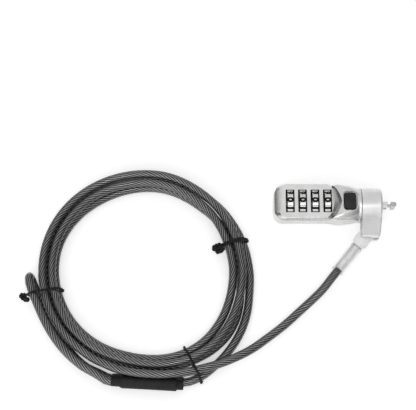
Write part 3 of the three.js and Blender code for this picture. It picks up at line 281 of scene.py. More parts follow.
class Look:
    """A material with one Principled shader, and short calls that put patterns on it."""

    def __init__(self, name, colour, metallic=0.0, specular=0.5):
        self.material, self.nodes, self.links = start_material(name)
        self.shader = self.nodes["Principled BSDF"]
        self.shader.inputs["Base Color"].default_value = (*colour, 1)
        self.shader.inputs["Metallic"].default_value = metallic
        self.shader.inputs["Specular IOR Level"].default_value = specular
        self.colour = colour
        self.normal = None

    def noise(self, scale, detail=3.0, stretch=(1, 1, 1)):
        """Cloudy pattern in the object's own place. Scale is the number of clouds in a metre."""
        place = self.nodes.new("ShaderNodeTexCoord")
        mapping = self.nodes.new("ShaderNodeMapping")
        texture = self.nodes.new("ShaderNodeTexNoise")
        mapping.inputs["Scale"].default_value = stretch
        texture.inputs["Scale"].default_value = scale
        texture.inputs["Detail"].default_value = detail
        self.links.new(place.outputs["Object"], mapping.inputs["Vector"])
        self.links.new(mapping.outputs["Vector"], texture.inputs["Vector"])
        return texture.outputs["Fac"]

    def tint(self, pattern, low, high, start=0.35, end=0.65):
        """The base colour runs from low to high times the material's own colour."""
        ramp = self.nodes.new("ShaderNodeValToRGB")
        ramp.color_ramp.elements[0].position = start
        ramp.color_ramp.elements[1].position = end
        ramp.color_ramp.elements[0].color = (*[c * low for c in self.colour], 1)
        ramp.color_ramp.elements[1].color = (*[min(c * high, 1) for c in self.colour], 1)
        self.links.new(pattern, ramp.inputs["Fac"])
        self.links.new(ramp.outputs["Color"], self.shader.inputs["Base Color"])

    def rough(self, pattern, low, high):
        """The roughness runs from low to high over the middle of the pattern."""
        spread = self.nodes.new("ShaderNodeMapRange")
        spread.inputs["From Min"].default_value = 0.3
        spread.inputs["From Max"].default_value = 0.7
        spread.inputs["To Min"].default_value = low
        spread.inputs["To Max"].default_value = high
        self.links.new(pattern, spread.inputs["Value"])
        self.links.new(spread.outputs["Result"], self.shader.inputs["Roughness"])

    def bump(self, pattern, depth):
        """Raised by the pattern. Depth is in millimetres."""
        bump = self.nodes.new("ShaderNodeBump")
        bump.inputs["Distance"].default_value = depth * MM
        self.links.new(pattern, bump.inputs["Height"])
        if self.normal is not None:
            self.links.new(self.normal, bump.inputs["Normal"])
        self.normal = bump.outputs["Normal"]
        self.links.new(self.normal, self.shader.inputs["Normal"])

    def round_edges(self, radius):
        bevel = self.nodes.new("ShaderNodeBevel")
        bevel.samples = 6
        bevel.inputs["Radius"].default_value = radius * MM
        self.normal = bevel.outputs["Normal"]
        self.links.new(self.normal, self.shader.inputs["Normal"])


class ClearLook:
    """Clear plastic: light passes through its body, and a wavy gloss lies over it."""

    def __init__(self, name, gloss_grey, roughness, waves, wave_depth):
        self.material, self.nodes, self.links = start_material(name)
        self.nodes.remove(self.nodes["Principled BSDF"])
        self.clear = self.nodes.new("ShaderNodeBsdfTransparent")
        gloss = self.nodes.new("ShaderNodeBsdfGlossy")
        gloss.inputs["Color"].default_value = grey(gloss_grey)
        gloss.inputs["Roughness"].default_value = roughness
        place = self.nodes.new("ShaderNodeTexCoord")
        noise = self.nodes.new("ShaderNodeTexNoise")
        noise.inputs["Scale"].default_value = waves
        bump = self.nodes.new("ShaderNodeBump")
        bump.inputs["Distance"].default_value = wave_depth * MM
        whole = self.nodes.new("ShaderNodeMixShader")
        self.links.new(place.outputs["Object"], noise.inputs["Vector"])
        self.links.new(noise.outputs["Fac"], bump.inputs["Height"])
        self.links.new(bump.outputs["Normal"], gloss.inputs["Normal"])
        self.links.new(self.clear.outputs["BSDF"], whole.inputs[1])
        self.links.new(gloss.outputs["BSDF"], whole.inputs[2])
        self.links.new(whole.outputs["Shader"], self.nodes["Material Output"].inputs["Surface"])
        self.waves = noise.outputs["Fac"]
        self.gloss_share, self.body = whole.inputs["Fac"], whole.inputs[1]

    def spread(self, value, low, high, start=0.0):
        """Runs from low to high while the value runs from start to 1."""
        mapping = self.nodes.new("ShaderNodeMapRange")
        mapping.inputs["From Min"].default_value = start
        mapping.inputs["To Min"].default_value = low
        mapping.inputs["To Max"].default_value = high
        self.links.new(value, mapping.inputs["Value"])
        return mapping.outputs["Result"]


def satin_metal(name, colour, roughness, edge=0.25):
    look = Look(name, colour, metallic=1)
    look.round_edges(edge)
    look.tint(look.noise(140), 0.93, 1.04)
    look.rough(look.noise(900, 4), roughness - 0.04, roughness + 0.06)
    look.bump(look.noise(2600, 2), 0.003)
    return look.material


def turned_metal(name, colour, roughness):
    look = Look(name, colour, metallic=1)
    look.tint(look.noise(300), 0.9, 1.05)
    rings = look.noise(500, 2, (8, 1, 1))
    look.rough(rings, roughness - 0.06, roughness + 0.1)
    look.bump(rings, 0.008)
    return look.material


def pale_steel():
    """Tumbled stainless steel, almost white."""
    look = Look("pale_steel", (0.9, 0.9, 0.9), metallic=0.3)
    look.round_edges(0.15)
    look.tint(look.noise(220), 0.9, 1.06)
    look.rough(look.noise(700), 0.38, 0.5)
    look.bump(look.noise(1400, 2), 0.012)
    return look.material


def moulded(name, level, roughness, grain, depth):
    """Black plastic or rubber of a grey level. Grain is the number of grains in a metre, and depth is in
    millimetres."""
    look = Look(name, grey(level)[:3], specular=0.25)
    look.tint(look.noise(400), 0.8, 1.25)
    look.rough(look.noise(1200), roughness - 0.08, roughness + 0.08)
    look.bump(look.noise(grain, 2), depth)
    return look.material


def matt_print_and_shade():
    """Black print of the digits, and painted shade as the dials' borders."""
    look = Look("black_print_and_shade", (0.006, 0.006, 0.006), specular=0.06)
    look.tint(look.noise(500), 0.7, 1.4)
    look.rough(look.noise(900), 0.6, 0.75)
    look.bump(look.noise(1500, 2), 0.01)
    return look.material


def smoky_jacket():
    """Clear plastic with a grey tint: the rope shows through it, and it mirrors light at its edges."""
    look = ClearLook("smoky_jacket", gloss_grey=1, roughness=0.1, waves=260, wave_depth=0.02)
    look.clear.inputs["Color"].default_value = grey(0.78)
    haze = look.nodes.new("ShaderNodeBsdfDiffuse")
    haze.inputs["Color"].default_value = grey(0.05)
    edge = look.nodes.new("ShaderNodeFresnel")
    edge.inputs["IOR"].default_value = 1.4
    body = look.nodes.new("ShaderNodeMixShader")
    look.links.new(look.spread(look.waves, 0.08, 0.22), body.inputs["Fac"])
    look.links.new(look.clear.outputs["BSDF"], body.inputs[1])
    look.links.new(haze.outputs["BSDF"], body.inputs[2])
    look.links.new(body.outputs["Shader"], look.body)
    look.links.new(edge.outputs["Fac"], look.gloss_share)
    return look.material


def clear_tube():
    """Clear plastic, a little greyer and glossier towards its edges."""
    look = ClearLook("clear_sheath", gloss_grey=0.8, roughness=0.12, waves=500, wave_depth=0.03)
    slant = look.nodes.new("ShaderNodeLayerWeight")
    depth = look.nodes.new("ShaderNodeValToRGB")
    depth.color_ramp.elements[0].position = 0.75
    depth.color_ramp.elements[0].color = grey(0.99)
    depth.color_ramp.elements[1].color = grey(0.72)
    look.links.new(slant.outputs["Facing"], depth.inputs["Fac"])
    look.links.new(depth.outputs["Color"], look.clear.inputs["Color"])
    look.links.new(look.spread(slant.outputs["Facing"], 0.04, 0.4, start=0.4), look.gloss_share)
    return look.material


def rope_wire():
    """Drawn steel wire, with painted shade in the valleys between the strands and a painted highlight on their
    tops.
    """
    look = Look("rope_wire", (0.62, 0.62, 0.62), metallic=0.7)
    depth = look.nodes.new("ShaderNodeAttribute")
    depth.attribute_name = "crown"
    # Painted shade and highlight: the crown takes the colour from near black in the valleys to near white on
    # the strands' tops.
    look.tint(depth.outputs["Fac"], 0.02, 1.8, 0.35, 0.95)
    look.rough(look.noise(700), 0.3, 0.42)
    look.bump(look.noise(3000, 2), 0.02)
    return look.material


# ---------------------------------------------------------------- mesh helpers


def place_piece(name, mesh, material, body):
    """Puts a mesh in the scene, riding on a body of the frame."""
    mesh.materials.append(material)
    piece = add_object(name, mesh)
    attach(piece, body)
    return piece


def new_piece(name, points, faces, material, body, smooth=True):
    """A piece made of points in millimetres and the faces between them."""
    mesh = bpy.data.meshes.new(name)
    mesh.from_pydata([tuple(c * MM for c in point) for point in points], [], faces)
    mesh.polygons.foreach_set("use_smooth", [smooth] * len(mesh.polygons))
    return place_piece(name, mesh, material, body)


def unit(vectors):
    return vectors / np.linalg.norm(vectors, axis=-1, keepdims=True)


def smooth_path(points, step):
    """Points about one step apart on the centripetal Catmull-Rom curve through the given points."""
    points = [np.array(p, float) for p in points]
    points = [2 * points[0] - points[1], *points, 2 * points[-1] - points[-2]]
    fine = []
    for p0, p1, p2, p3 in zip(points, points[1:], points[2:], points[3:]):
        t1 = np.linalg.norm(p1 - p0) ** 0.5
        t2 = t1 + np.linalg.norm(p2 - p1) ** 0.5
        t3 = t2 + np.linalg.norm(p3 - p2) ** 0.5
        for t in np.linspace(t1, t2, CURVE_STEPS, endpoint=False):
            a1 = (t1 - t) / t1 * p0 + t / t1 * p1
            a2 = (t2 - t) / (t2 - t1) * p1 + (t - t1) / (t2 - t1) * p2
            a3 = (t3 - t) / (t3 - t2) * p2 + (t - t2) / (t3 - t2) * p3
            b1 = (t2 - t) / t2 * a1 + t / t2 * a2
            b2 = (t3 - t) / (t3 - t1) * a2 + (t - t1) / (t3 - t1) * a3
            fine.append((t2 - t) / (t2 - t1) * b1 + (t - t1) / (t2 - t1) * b2)
    fine.append(points[-2])
    fine = np.array(fine)
    along = travelled(fine)
    places = np.linspace(0, along[-1], max(round(along[-1] / step), 2) + 1)
    return np.stack([np.interp(places, along, fine[:, k]) for k in range(3)], axis=1)


def travelled(path):
    """Length along a path up to each of its points."""
    return np.concatenate([[0], np.cumsum(np.linalg.norm(np.diff(path, axis=0), axis=1))])


def frames_along(path):
    """Two directions across the path at each point, carried along it without twisting."""
    tangents = unit(np.gradient(path, axis=0))
    across = np.cross(tangents[0], (0, 0, 1))
    sides = []
    for tangent in tangents:
        across = across - tangent * across.dot(tangent)
        across = across / np.linalg.norm(across)
        sides.append(across)
    sides = np.array(sides)
    return sides, np.cross(tangents, sides)


def lofted(rings):
    """Points and faces of a closed skin through rings of equal count."""
    count = len(rings[0])
    points = [point for ring in rings for point in ring]
    faces = []
    for i in range(len(rings) - 1):
        for k in range(count):
            j = (k + 1) % count
            faces.append((i * count + k, i * count + j, (i + 1) * count + j, (i + 1) * count + k))
    faces.append(tuple(reversed(range(count))))
    faces.append(tuple(range((len(rings) - 1) * count, len(rings) * count)))
    return points, faces


def sweep(path, outline, turn=0.0, sizes=1.0):
    """Skin of an outline, as angle and radius pairs, swept along a path. Turn is the twist in radians to a
    millimetre, and sizes scale the outline, all along the path or at each of its points."""
    first, second = frames_along(path)
    angles, radii = np.array(outline).T
    turned = angles + turn * travelled(path)[:, None]
    reach = radii * np.broadcast_to(sizes, len(path))[:, None]
    across = np.cos(turned)[..., None] * first[:, None] + np.sin(turned)[..., None] * second[:, None]
    return lofted(path[:, None] + reach[..., None] * across)


def circle(radius, sides):
    return [(2 * math.pi * k / sides, radius) for k in range(sides)]


def lobes(radius, count, steps):
    """Outline of strands laid round a core, each touching the next."""
    pitch = radius / (1 + math.sin(math.pi / count))
    strand = pitch * math.sin(math.pi / count)
    outline = []
    for k in range(count * steps):
        offset = (k % steps) / steps * 2 - 1  # from one valley to the next
        phi = offset * math.pi / count
        reach = pitch * math.cos(phi) + math.sqrt(max(strand**2 - (pitch * math.sin(phi)) ** 2, 0))
        outline.append((2 * math.pi * k / (count * steps), reach))
    return outline


# ---------------------------------------------------------------- cable


def directions(angle):
    """Level unit vector at an angle in degrees, and the one a quarter turn further round."""
    turn = math.radians(angle)
    return np.array((math.cos(turn), math.sin(turn), 0)), np.array((-math.sin(turn), math.cos(turn), 0))


def about_coil(angle, outside, height):
    """Point at an angle about the coil's centre, so far outside its outer turn, at a height."""
    return np.array((*COIL_CENTRE, height)) + directions(angle)[0] * (COIL_RADIUS + outside)


def smoothstep(value, low, high):
    share = min(max((value - low) / (high - low), 0), 1)
    return share * share * (3 - 2 * share)


def swelling(angle):
    """Height of the coil's swellings at an angle."""
    total = 0
    for middle, half_width, height in COIL_SWELLINGS:
        away = (angle - middle + 180) % 360 - 180
        total += height * (1 + math.cos(math.pi * min(abs(away) / half_width, 1))) / 2
    return total


def slip(turns):
    """How far a lower turn has slipped in under the upper layer."""
    angle = 360 * (turns % 1)
    total = 0
    for turn, inward, start, full, fade, end in COIL_SLIPS:
        if turn == math.floor(turns):
            total += inward * smoothstep(angle, start, full) * (1 - smoothstep(angle, fade, end))
    return total


def coil_point(turns):
    """In at a steady rate, then out again one layer higher."""
    inward = STRAND_PITCH * min(turns, 2 * COIL_REVERSAL - turns)
    half = COIL_CLIMB / 2
    climb = smoothstep(turns, COIL_REVERSAL - half, COIL_REVERSAL + half)
    height = LOWER_LAYER + (UPPER_LAYER - LOWER_LAYER) * climb
    return about_coil(360 * turns, swelling(360 * turns) - inward - slip(turns), height)


def coil_end(turns, before):
    """Point one diameter straight on from an end of the coil, as the coil runs there from just before it."""
    onward = unit(coil_point(turns) - coil_point(before))
    return coil_point(turns) + onward * CABLE_DIAMETER


def sleeve_frame():
    """Directions along and across the sleeve, and its middle."""
    along, across = directions(SLEEVE_ANGLE)
    return along, across, np.array((*SLEEVE_MIDDLE, SLEEVE_RADIUS + SLEEVE_RISE / 2))


def sleeve_face(end, level):
    """Where a cable stops in the sleeve. End is 1 on the right and -1 on the left, and level is 1 for the
    upper cable and -1 for the lower."""
    along, across, middle = sleeve_frame()
    face = middle + along * end * (SLEEVE_LENGTH / 2 - SLEEVE_MOUTH - CABLE_GAP)
    return face - across * level * SLEEVE_SLANT / 2 + UP * level * SLEEVE_RISE / 2


def square_start(face, outward):
    """First two points of a cable that leaves a face squarely."""
    return [face + outward * (CABLE_GAP + d) for d in (0, CABLE_DIAMETER)]


def cable_route():
    """From the ferrule at the lock, through the coil, to the sleeve of the end loop."""
    outward = directions(CABLE_ANGLE)[0]
    lead = [
        (-7.3, 41.6, 8.9), (-11.2, 36.5, 7.2), (-15.6, 31.4, 5.8), (-22.1, 25.8, 5.2), (-29.5, 20.6, 5.7),
        (-38, 16.4, 7), (-46, 12.7, 8.5), (-53, 9.8, 9.1), (-60, 7.3, 9.7), (-66.5, 5.7, 10.6),
        (-73, 4.4, 11.4), (-80, 3.2, 11.8), (-88, 2, 11.8), (-96, 1.3, 11.6), (-104, 0.7, 10.9),
        (-111, -0.1, 10),
    ]
    steps = [COIL_TURNS, *(k / COIL_STEPS for k in range(int(COIL_TURNS * COIL_STEPS), -1, -1))]
    tail = [
        (-13.5, 1.3, LOWER_LAYER), (-21.8, 3.1, LOWER_LAYER), (-30.6, 4.9, LOWER_LAYER),
        (-39, 6.3, LOWER_LAYER), (-47.9, 7.6, LOWER_LAYER), (-55.1, 8.6, LOWER_LAYER),
        (-61.8, 9.5, LOWER_LAYER),
    ]
    along = sleeve_frame()[0]
    return [
        *square_start(np.array(PIVOT) + outward * FITTING_LENGTH, outward),
        *[about_coil(*place) for place in lead],
        coil_end(COIL_TURNS, COIL_TURNS - COIL_NEAR),
        *[coil_point(turns) for turns in steps],
        coil_end(0, COIL_NEAR),
        *[about_coil(*place) for place in tail],
        *reversed(square_start(sleeve_face(1, -1), along)),
    ]


def loop_route():
    """Out of the sleeve as the upper strand, round the tip, and back under itself."""
    upper = [
        (-112.5, 6.8, 8.5), (-121.3, 6.4, 9.1), (-132.1, 5.5, 9.8), (-141.3, 4.7, 10.6), (-151.4, 4.2, 11.4),
        (-161.7, 4.5, 12.1), (-167.1, 5.3, 12.5), (-171.7, 6, 12.6),
    ]
    tip = [(-174.5, 6.2, 11.3), (-175.7, 6, 8.1), (-174.6, 5.3, 4.9)]
    lower = [
        (-171.7, 4.4, LOWER_LAYER), (-167, 2.8, LOWER_LAYER), (-161.6, 2.8, LOWER_LAYER),
        (-151.4, 2.8, LOWER_LAYER), (-141.2, 2.7, LOWER_LAYER), (-132, 3.4, LOWER_LAYER),
        (-121, 5, LOWER_LAYER), (-112.4, 5, LOWER_LAYER),
    ]
    backward = -sleeve_frame()[0]
    return [
        *square_start(sleeve_face(-1, 1), backward),
        *[about_coil(*place) for place in [*upper, *tip, *lower]],
        *reversed(square_start(sleeve_face(-1, -1), backward)),
    ]


def rope(name, route, material):
    """Strands of wire laid round a core. The crown is 1 on top of a strand and 0 in the valley beside it."""
    outline = lobes(ROPE_RADIUS, ROPE_STRANDS, ROPE_STRAND_STEPS)
    path = smooth_path(route, ROPE_STEP)
    points, faces = sweep(path, outline, turn=2 * math.pi / ROPE_LAY)
    piece = new_piece(name, points, faces, material, "cable")
    shares = [k % ROPE_STRAND_STEPS / ROPE_STRAND_STEPS for k in range(len(outline))]
    crown = [1 - abs(2 * share - 1) for share in shares]
    # The wire material turns the crown into painted shade in the valleys and painted highlight on the tops.
    attribute = piece.data.attributes.new("crown", "FLOAT", "POINT")
    attribute.data.foreach_set("value", np.array(crown * len(path), np.float32))
    return piece


def jacket(name, route, material):
    path = smooth_path(route, JACKET_STEP)
    points, faces = sweep(path, circle(CABLE_DIAMETER / 2, JACKET_SIDES))
    return new_piece(name, points, faces, material, "cable"), path


def make_cables():
    clear, wire = smoky_jacket(), rope_wire()
    sleeve = make_sleeve(moulded("black_sleeve", 0.013, 0.55, 900, 0.02))
    paths = []
    for name, route, nodes, far_end, companions in (
        ("cable", cable_route(), ("cable_lead", "cable_coil", "cable_tail"), "fitting", [sleeve]),
        ("end_loop", loop_route(), ("cable_loop",), "object", []),
    ):
        core = rope(name + "_rope", route, wire)
        cover, path = jacket(name + "_jacket", route, clear)
        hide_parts(*nodes)
        paths.append(path)
    make_ties(*paths, moulded("black_tie", 0.012, 0.5, 1500, 0.02))


# ---------------------------------------------------------------- sleeve and ties


def stadium(radius):
    """Outline round the two cables in the sleeve, across it and upwards."""
    spread = STRAND_PITCH / 2
    angles = [math.pi * k / SLEEVE_ARC_STEPS - math.pi / 2 for k in range(SLEEVE_ARC_STEPS + 1)]
    half = [(spread + radius * math.cos(angle), radius * math.sin(angle)) for angle in angles]
    tilt = math.atan2(SLEEVE_RISE, -SLEEVE_SLANT)
    turn, lean = math.cos(tilt), math.sin(tilt)
    return [(x * turn - y * lean, x * lean + y * turn) for x, y in [*half, *[(-x, -y) for x, y in half]]]


def make_sleeve(material):
    """Black tube shrunk over the ferrule, smaller at both ends where only the cables fill it."""
    along, across, middle = sleeve_frame()

    def ring(place, radius):
        return [middle + along * place + across * u + UP * v for u, v in stadium(radius)]

    lip = SLEEVE_LENGTH / 2 - SLEEVE_LIP
    mouth = CABLE_DIAMETER / 2 + SLEEVE_EASE
    outside = [ring(place, SLEEVE_RADIUS - less) for place, less in SLEEVE_SHAPE]
    points, faces = lofted([ring(-lip, mouth), *outside, ring(lip, mouth)])
    sleeve = new_piece("shrunk_sleeve", points, faces, material, "cable")
    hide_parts("loop_sleeve", "loop_ferrule")
    return sleeve


def hull(points):
    """Convex outline round points, anticlockwise."""

    def chain(ordered):
        kept = []
        for p in ordered:
            while len(kept) > 1:
                (ax, ay), (bx, by) = kept[-2], kept[-1]
                if (bx - ax) * (p[1] - ay) - (by - ay) * (p[0] - ax) > STRAIGHT:
                    break
                kept.pop()
            kept.append(p)
        return kept[:-1]

    ordered = sorted(points)
    return chain(ordered) + chain(ordered[::-1])


def strands_at(angle, *runs):
    """Middles of the cables in the half plane at an angle about the coil, as radius and height."""
    outward, around = directions(angle)
    strands = []
    for run in runs:
        away = run - (*COIL_CENTRE, 0)
        side = away @ around
        for i in np.nonzero((side[:-1] > 0) != (side[1:] > 0))[0]:
            if away[i] @ outward > 0:
                strands.append((float(away[i] @ outward), float(away[i][2])))
    return strands


def round_strands(strands, distance):
    """Outline round a bundle of cables, at a distance from them."""
    reach = CABLE_DIAMETER / 2 + distance
    angles = [2 * math.pi * k / BUNDLE_SIDES for k in range(BUNDLE_SIDES)]
    return hull([(r + reach * math.cos(a), z + reach * math.sin(a)) for r, z in strands for a in angles])


def twisted_wire(path, sizes):
    """Two covered strands twisted round each other along a path, squeezed where they lie under the coil."""
    first, second = frames_along(path)
    sizes = np.where(path[:, 2] < TIE_LOW, TIE_SQUEEZED, sizes)
    offset = (TIE_WIRE * TIE_PRESSED * sizes)[:, None]
    points, faces = [], []
    for side in (0, math.pi):
        turn = (side + 2 * math.pi * travelled(path) / TIE_LAY)[:, None]
        strand = path + offset * (np.cos(turn) * first + np.sin(turn) * second)
        more_points, more_faces = sweep(strand, circle(TIE_WIRE, TIE_SIDES), sizes=sizes)
        faces += [tuple(len(points) + k for k in face) for face in more_faces]
        points += more_points
    return points, faces


def thinned(points, least):
    """The points without those that are nearer than least to the one before."""
    kept = [points[0]]
    for point in points[1:]:
        if np.linalg.norm(point - kept[-1]) > least:
            kept.append(point)
    return kept


def make_tie(name, node, angle, runs, tail, material, rounds=1, tail_size=1.0):
    """Wire twisted round the bundle at one angle, one or more rounds, and on into its twisted tail. The tail's
    places are angles from the tie, distances outside the coil's outer turn, and heights."""
    outward, around = directions(angle)
    aside = -around * TIE_SPACING * (rounds - 1)
    outline = round_strands(strands_at(angle, *runs), TIE_GAP + TIE_BAND / 2)
    side = 1 if tail[0][1] > 0 else -1
    start = max(range(len(outline)), key=lambda k: outline[k][0] * side)
    ring = [outward * r + (*COIL_CENTRE, z) for r, z in outline[start:] + outline[:start]]
    ring = thinned(ring, TIE_CORNERS)
    count = len(ring) * rounds
    wound = [point + aside * (k / count - 0.5) for k, point in enumerate([*ring * rounds, ring[0]])]
    end = [about_coil(angle + away, outside, height) for away, outside, height in tail]
    path = smooth_path([*wound, *end], TIE_STEP)
    first_of_tail = int(np.argmin(np.linalg.norm(path - end[0], axis=1)))
    sizes = np.where(np.arange(len(path)) < first_of_tail, 1.0, tail_size)
    points, faces = twisted_wire(path, sizes)
    tie = new_piece(name, points, faces, material, "cable")
    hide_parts(node)


def make_ties(cable, loop, material):
    left_end = [
        (-1.2, 9.8, 8), (-1.6, 12.4, 7.6), (-0.2, 11.8, 7.2), (1.5, 9.6, 7.2), (1.2, 8.9, 8.2),
        (0.2, 10.2, 8.6),
    ]
    right_end = [
        (0.3, -14.8, 10.6), (0.3, -18.4, 9.8), (-1.0, -19.2, 9.7), (-2.2, -18.4, 9.8), (-2.3, -14.8, 11.2),
        (-3.5, -14.0, 11.6), (-4.7, -14.8, 11.2), (-4.8, -18.2, 9.8),
    ]
    bottom_end = [(0.2, 11.9, 4.2), (0.4, 12.9, 3.6)]
    make_tie("wire_tie_left", "tie_left", -165.8, (cable, loop), left_end, material, tail_size=1.6)
    make_tie("wire_tie_right", "tie_right", 17, (cable,), right_end, material, rounds=2, tail_size=1.6)
    make_tie("wire_tie_bottom", "tie_bottom", -63.7, (cable,), bottom_end, material, tail_size=1.3)


# ---------------------------------------------------------------- dials


def letter(text):
    """Flat outline of a letter, filled, one unit high."""
    curve = bpy.data.curves.new("digit", "FONT")
    curve.body = text
    curve.offset = DIGIT_WEIGHT
    holder = add_object("digit", curve)
    bpy.context.view_layer.update()
    mesh = bpy.data.meshes.new_from_object(holder.evaluated_get(bpy.context.evaluated_depsgraph_get()))
    bpy.data.objects.remove(holder)
    return mesh


def flat_digit(value):
    """A digit lying flat, its middle at the origin, in upright strips."""
    flat = bmesh.new()
    flat.from_mesh(letter(str(value)))
    xs = [v.co.x for v in flat.verts]
    ys = [v.co.y for v in flat.verts]
    scale = DIGIT_HEIGHT / (max(ys) - min(ys))
    middle = Vector(((max(xs) + min(xs)) / 2, (max(ys) + min(ys)) / 2, 0))
    for v in flat.verts:
        v.co = (v.co - middle) * scale
        v.co.x *= DIGIT_SPREAD
    for k in range(-DIGIT_CUTS, DIGIT_CUTS + 1):
        bmesh.ops.bisect_plane(
            flat,
            geom=[*flat.verts, *flat.edges, *flat.faces],
            plane_co=(k * DIGIT_STRIP, 0, 0),
            plane_no=(1, 0, 0),
        )
    return flat


def make_digits(name, centre_x, body, material):
    """Ten printed digits round a dial, their tops towards the locking bar."""
    reach = DIGIT_RADIUS + DIGIT_RAISED
    whole = bmesh.new()
    for value in range(DIGITS):
        flat = flat_digit(value)
        for v in flat.verts:
            turn = -2 * math.pi * value / DIGITS - v.co.x / DIGIT_RADIUS
            aside, up = reach * math.sin(turn), reach * math.cos(turn)
            v.co = Vector((centre_x + v.co.y, DIAL_AXIS[0] + aside, DIAL_AXIS[1] + up)) * MM
        mesh = bpy.data.meshes.new("digit")
        flat.to_mesh(mesh)
        whole.from_mesh(mesh)
        flat.free()
    mesh = bpy.data.meshes.new(name)
    whole.to_mesh(mesh)
    whole.free()
    place_piece(name, mesh, material, body)


def dial_outline(grow):
    """Outline of a dial with its finger ridges, sideways and upwards from the dial's axis."""
    land, top = DIAL_RADIUS - DIAL_GROOVE + grow, DIAL_RADIUS + grow
    step = 2 * math.pi / DIGITS
    half = step * RIDGE_SHARE / 2
    foot = half * RIDGE_FOOT
    outline = []
    for digit in range(DIGITS):
        ridge = math.pi / 2 + step * (digit + 0.5)
        for radius, away in ((land, -foot), (top, -half), (top, half), (land, foot), (land, step / 2)):
            outline.append((radius * math.cos(ridge + away), radius * math.sin(ridge + away)))
    return outline


def make_rims(name, centre_x, body, material):
    """Black border on each side of a dial's rim, painted as the shade in the gap between dials."""
    points, faces = [], []
    for side in (-1, 1):
        outer, inner = side * DIAL_WIDTH / 2, side * (DIAL_WIDTH / 2 - RIM_WIDTH)
        section = [(outer, -RIM_DEPTH), (outer, RIM_RAISED), (inner, RIM_RAISED), (inner, -RIM_DEPTH)]
        rings = [
            [(centre_x + x, DIAL_AXIS[0] + y, DIAL_AXIS[1] + z) for y, z in dial_outline(grow)]
            for x, grow in section
        ]
        count, base = len(rings[0]), len(points)
        points += [point for ring in rings for point in ring]
        for i in range(len(rings)):
            n = (i + 1) % len(rings)
            for k in range(count):
                j = (k + 1) % count
                face = (i * count + k, i * count + j, n * count + j, n * count + k)
                faces.append(tuple(base + v for v in (face if side < 0 else reversed(face))))
    new_piece(name, points, faces, material, body, smooth=False)


# ---------------------------------------------------------------- assembly


def dress(material, *nodes):
    for name in nodes:
        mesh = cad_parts[name].data
        mesh.materials.clear()
        mesh.materials.append(material)
        mesh.polygons.foreach_set("material_index", [0] * len(mesh.polygons))


def dress_faces(material, nodes, chosen):
    """One more material on the faces of CAD nodes whose middle, in millimetres, and normal are chosen."""
    for name in nodes:
        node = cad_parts[name]
        node.data.materials.append(material)
        slot = len(node.data.materials) - 1
        for face in node.data.polygons:
            middle = node.matrix_world @ face.center / MM
            normal = (node.matrix_world.to_3x3() @ face.normal).normalized()
            if chosen(middle, normal):
                face.material_index = slot


def smooth_faces(name, limit):
    """Shades a CAD node smoothly across edges that turn by less than the limit in degrees."""
    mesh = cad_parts[name].data
    least = math.cos(math.radians(limit))
    around = {}
    corners = []
    for face in mesh.polygons:
        for vertex in face.vertices:
            key = tuple(round(c / WELDED) for c in mesh.vertices[vertex].co)
            around.setdefault(key, []).append((face.normal.copy(), face.area))
            corners.append((key, face.normal.copy()))
    normals = []
    for key, own in corners:
        total = Vector((0, 0, 0))
        for normal, area in around[key]:
            if normal.dot(own) > least:
                total += normal * area
        normals.append(total.normalized() if total.length > 0 else own)
    mesh.polygons.foreach_set("use_smooth", [True] * len(mesh.polygons))
    mesh.normals_split_custom_set(normals)


def in_trough(middle, normal):
    """Inside the dials' trough or a window of the cover, where no face looks away from the dials' axis;
    painted black as the shade there.
    """
    x, y, z = middle.x - LOCK_LEFT, middle.y - DIAL_AXIS[0], middle.z
    within = TROUGH_ALONG[0] < x < TROUGH_ALONG[1] and TROUGH_HEIGHTS[0] < z < TROUGH_HEIGHTS[1]
    if not within or abs(y) >= TROUGH_HALF_WIDTH:
        return False
    if z < COVER_FOOT:
        return normal.y * y + normal.z * (z - DIAL_AXIS[1]) < AWAY
    return abs(normal.z) < UPRIGHT


def on_foot(middle, normal):
    """Upright edge round the foot of the cover, painted dark as the line of shade under the cover."""
    low, high = FOOT_HEIGHTS
    return abs(normal.z) < UPRIGHT and low < middle.z < high and not in_trough(middle, normal)


def at_sheath_end(_, normal):
    """Face at one of the two ends of the sheath, painted dark as shade along its end."""
    return abs(directions(CABLE_ANGLE)[0] @ normal) > SHEATH_END


# A dial's flat side, painted black as the shade in the gap between dials.
def on_dial_side(_, normal):
    return abs(normal.x) > DIAL_SIDE


def in_button_pocket(middle, normal):
    """Walls of the recess round the button, painted dark as the shade in the recess."""
    x, y = middle.x - BUTTON_CENTRE, middle.y - DIAL_AXIS[0]
    within = abs(x) < POCKET_HALF[0] and abs(y) < POCKET_HALF[1] and middle.z > POCKET_BOTTOM
    return within and abs(normal.z) < POCKET_WALL


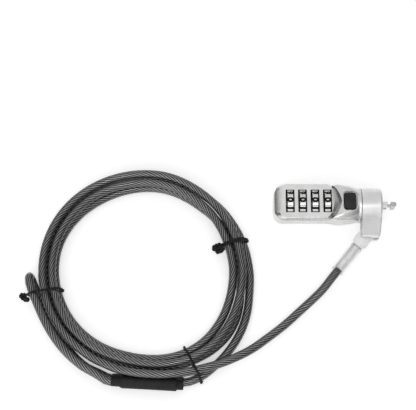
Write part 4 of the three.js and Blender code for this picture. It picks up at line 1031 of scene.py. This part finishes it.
def make_button_spring(material):
    """Spring in the space of its solid."""
    low, high = (np.array(corner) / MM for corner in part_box("button_spring"))
    middle = (low + high) / 2
    turn = np.linspace(0, 2 * math.pi * SPRING_CURLS, SPRING_STEPS * SPRING_CURLS + 1)
    radius = (high[0] - low[0] - SPRING_WIRE) / 2
    rise = np.linspace(low[2] + SPRING_WIRE / 2, high[2] - SPRING_WIRE / 2, len(turn))
    path = np.stack([middle[0] + radius * np.cos(turn), middle[1] + radius * np.sin(turn), rise], axis=1)
    points, faces = sweep(path, circle(SPRING_WIRE / 2, SPRING_SIDES))
    spring = new_piece("coil_spring", points, faces, material, "head")
    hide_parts("button_spring")
    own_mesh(spring)


def dress_nodes():
    dials = [f"dial_{i}" for i in range(1, 5)]
    code_rings = [f"code_ring_{i}" for i in range(1, 5)]
    # Painted shade: the housing takes a darker copy of the cover's nickel so that its sides render shaded.
    dress(satin_metal("shaded_nickel", (0.67, 0.67, 0.665), 0.26), "housing")
    dress(satin_metal("satin_nickel", (0.74, 0.74, 0.735), 0.24), "dial_cover", "nose_plug")
    dress(satin_metal("pale_satin", (0.72, 0.72, 0.72), 0.36), "swivel_collar")
    steel = turned_metal("turned_steel", (0.6, 0.61, 0.62), 0.35)
    dress(steel, "dial_spindle", "detent_spring", "pivot_pin")
    make_button_spring(steel)
    dress(turned_metal("bright_steel", (0.5, 0.5, 0.51), 0.16), "locking_bar")
    dress(pale_steel(), "cable_eye", "eye_ferrule")
    dress(satin_metal("dial_silver", (0.68, 0.68, 0.68), 0.36, edge=0.12), *dials)
    dress(turned_metal("brass", (0.69, 0.55, 0.27), 0.38), *code_rings)
    dress(moulded("black_button", 0.022, 0.6, 2200, 0.03), "release_button")
    dress(clear_tube(), "ferrule_sheath")
    # Painted shade: black on the dials' sides and inside the trough and the windows.
    dark = moulded("painted_shade_black", 0.02, 0.6, 1500, 0.02)
    dress_faces(dark, dials, on_dial_side)
    dress_faces(dark, ("housing", "dial_cover"), in_trough)
    # Painted shade: dark metal on the cover's foot, on the walls of the button's recess and on the sheath's
    # ends.
    painted_shade = satin_metal("painted_shade_metal", (0.16, 0.16, 0.16), 0.4)
    dress_faces(painted_shade, ("dial_cover",), on_foot)
    dress_faces(painted_shade, ("housing",), in_button_pocket)
    dress_faces(painted_shade, ("ferrule_sheath",), at_sheath_end)
    for name, limit in CURVE_LIMITS.items():
        smooth_faces(name, limit)


bpy.context.scene.view_settings.view_transform = "Standard"
make_camera()
make_cables()
make_world()
make_lamp("key", **KEY_LAMP)
make_lamp("top", **TOP_LAMP)
make_table()
dress_nodes()
print_and_shade = matt_print_and_shade()
# The digits are print; the dials' black rims are painted shade.
for number, (x, body) in enumerate(zip(DIAL_CENTRES, DIAL_BODIES), 1):
    make_digits(f"digits_{number}", x, body, print_and_shade)
    make_rims(f"dial_rims_{number}", x, body, print_and_shade)
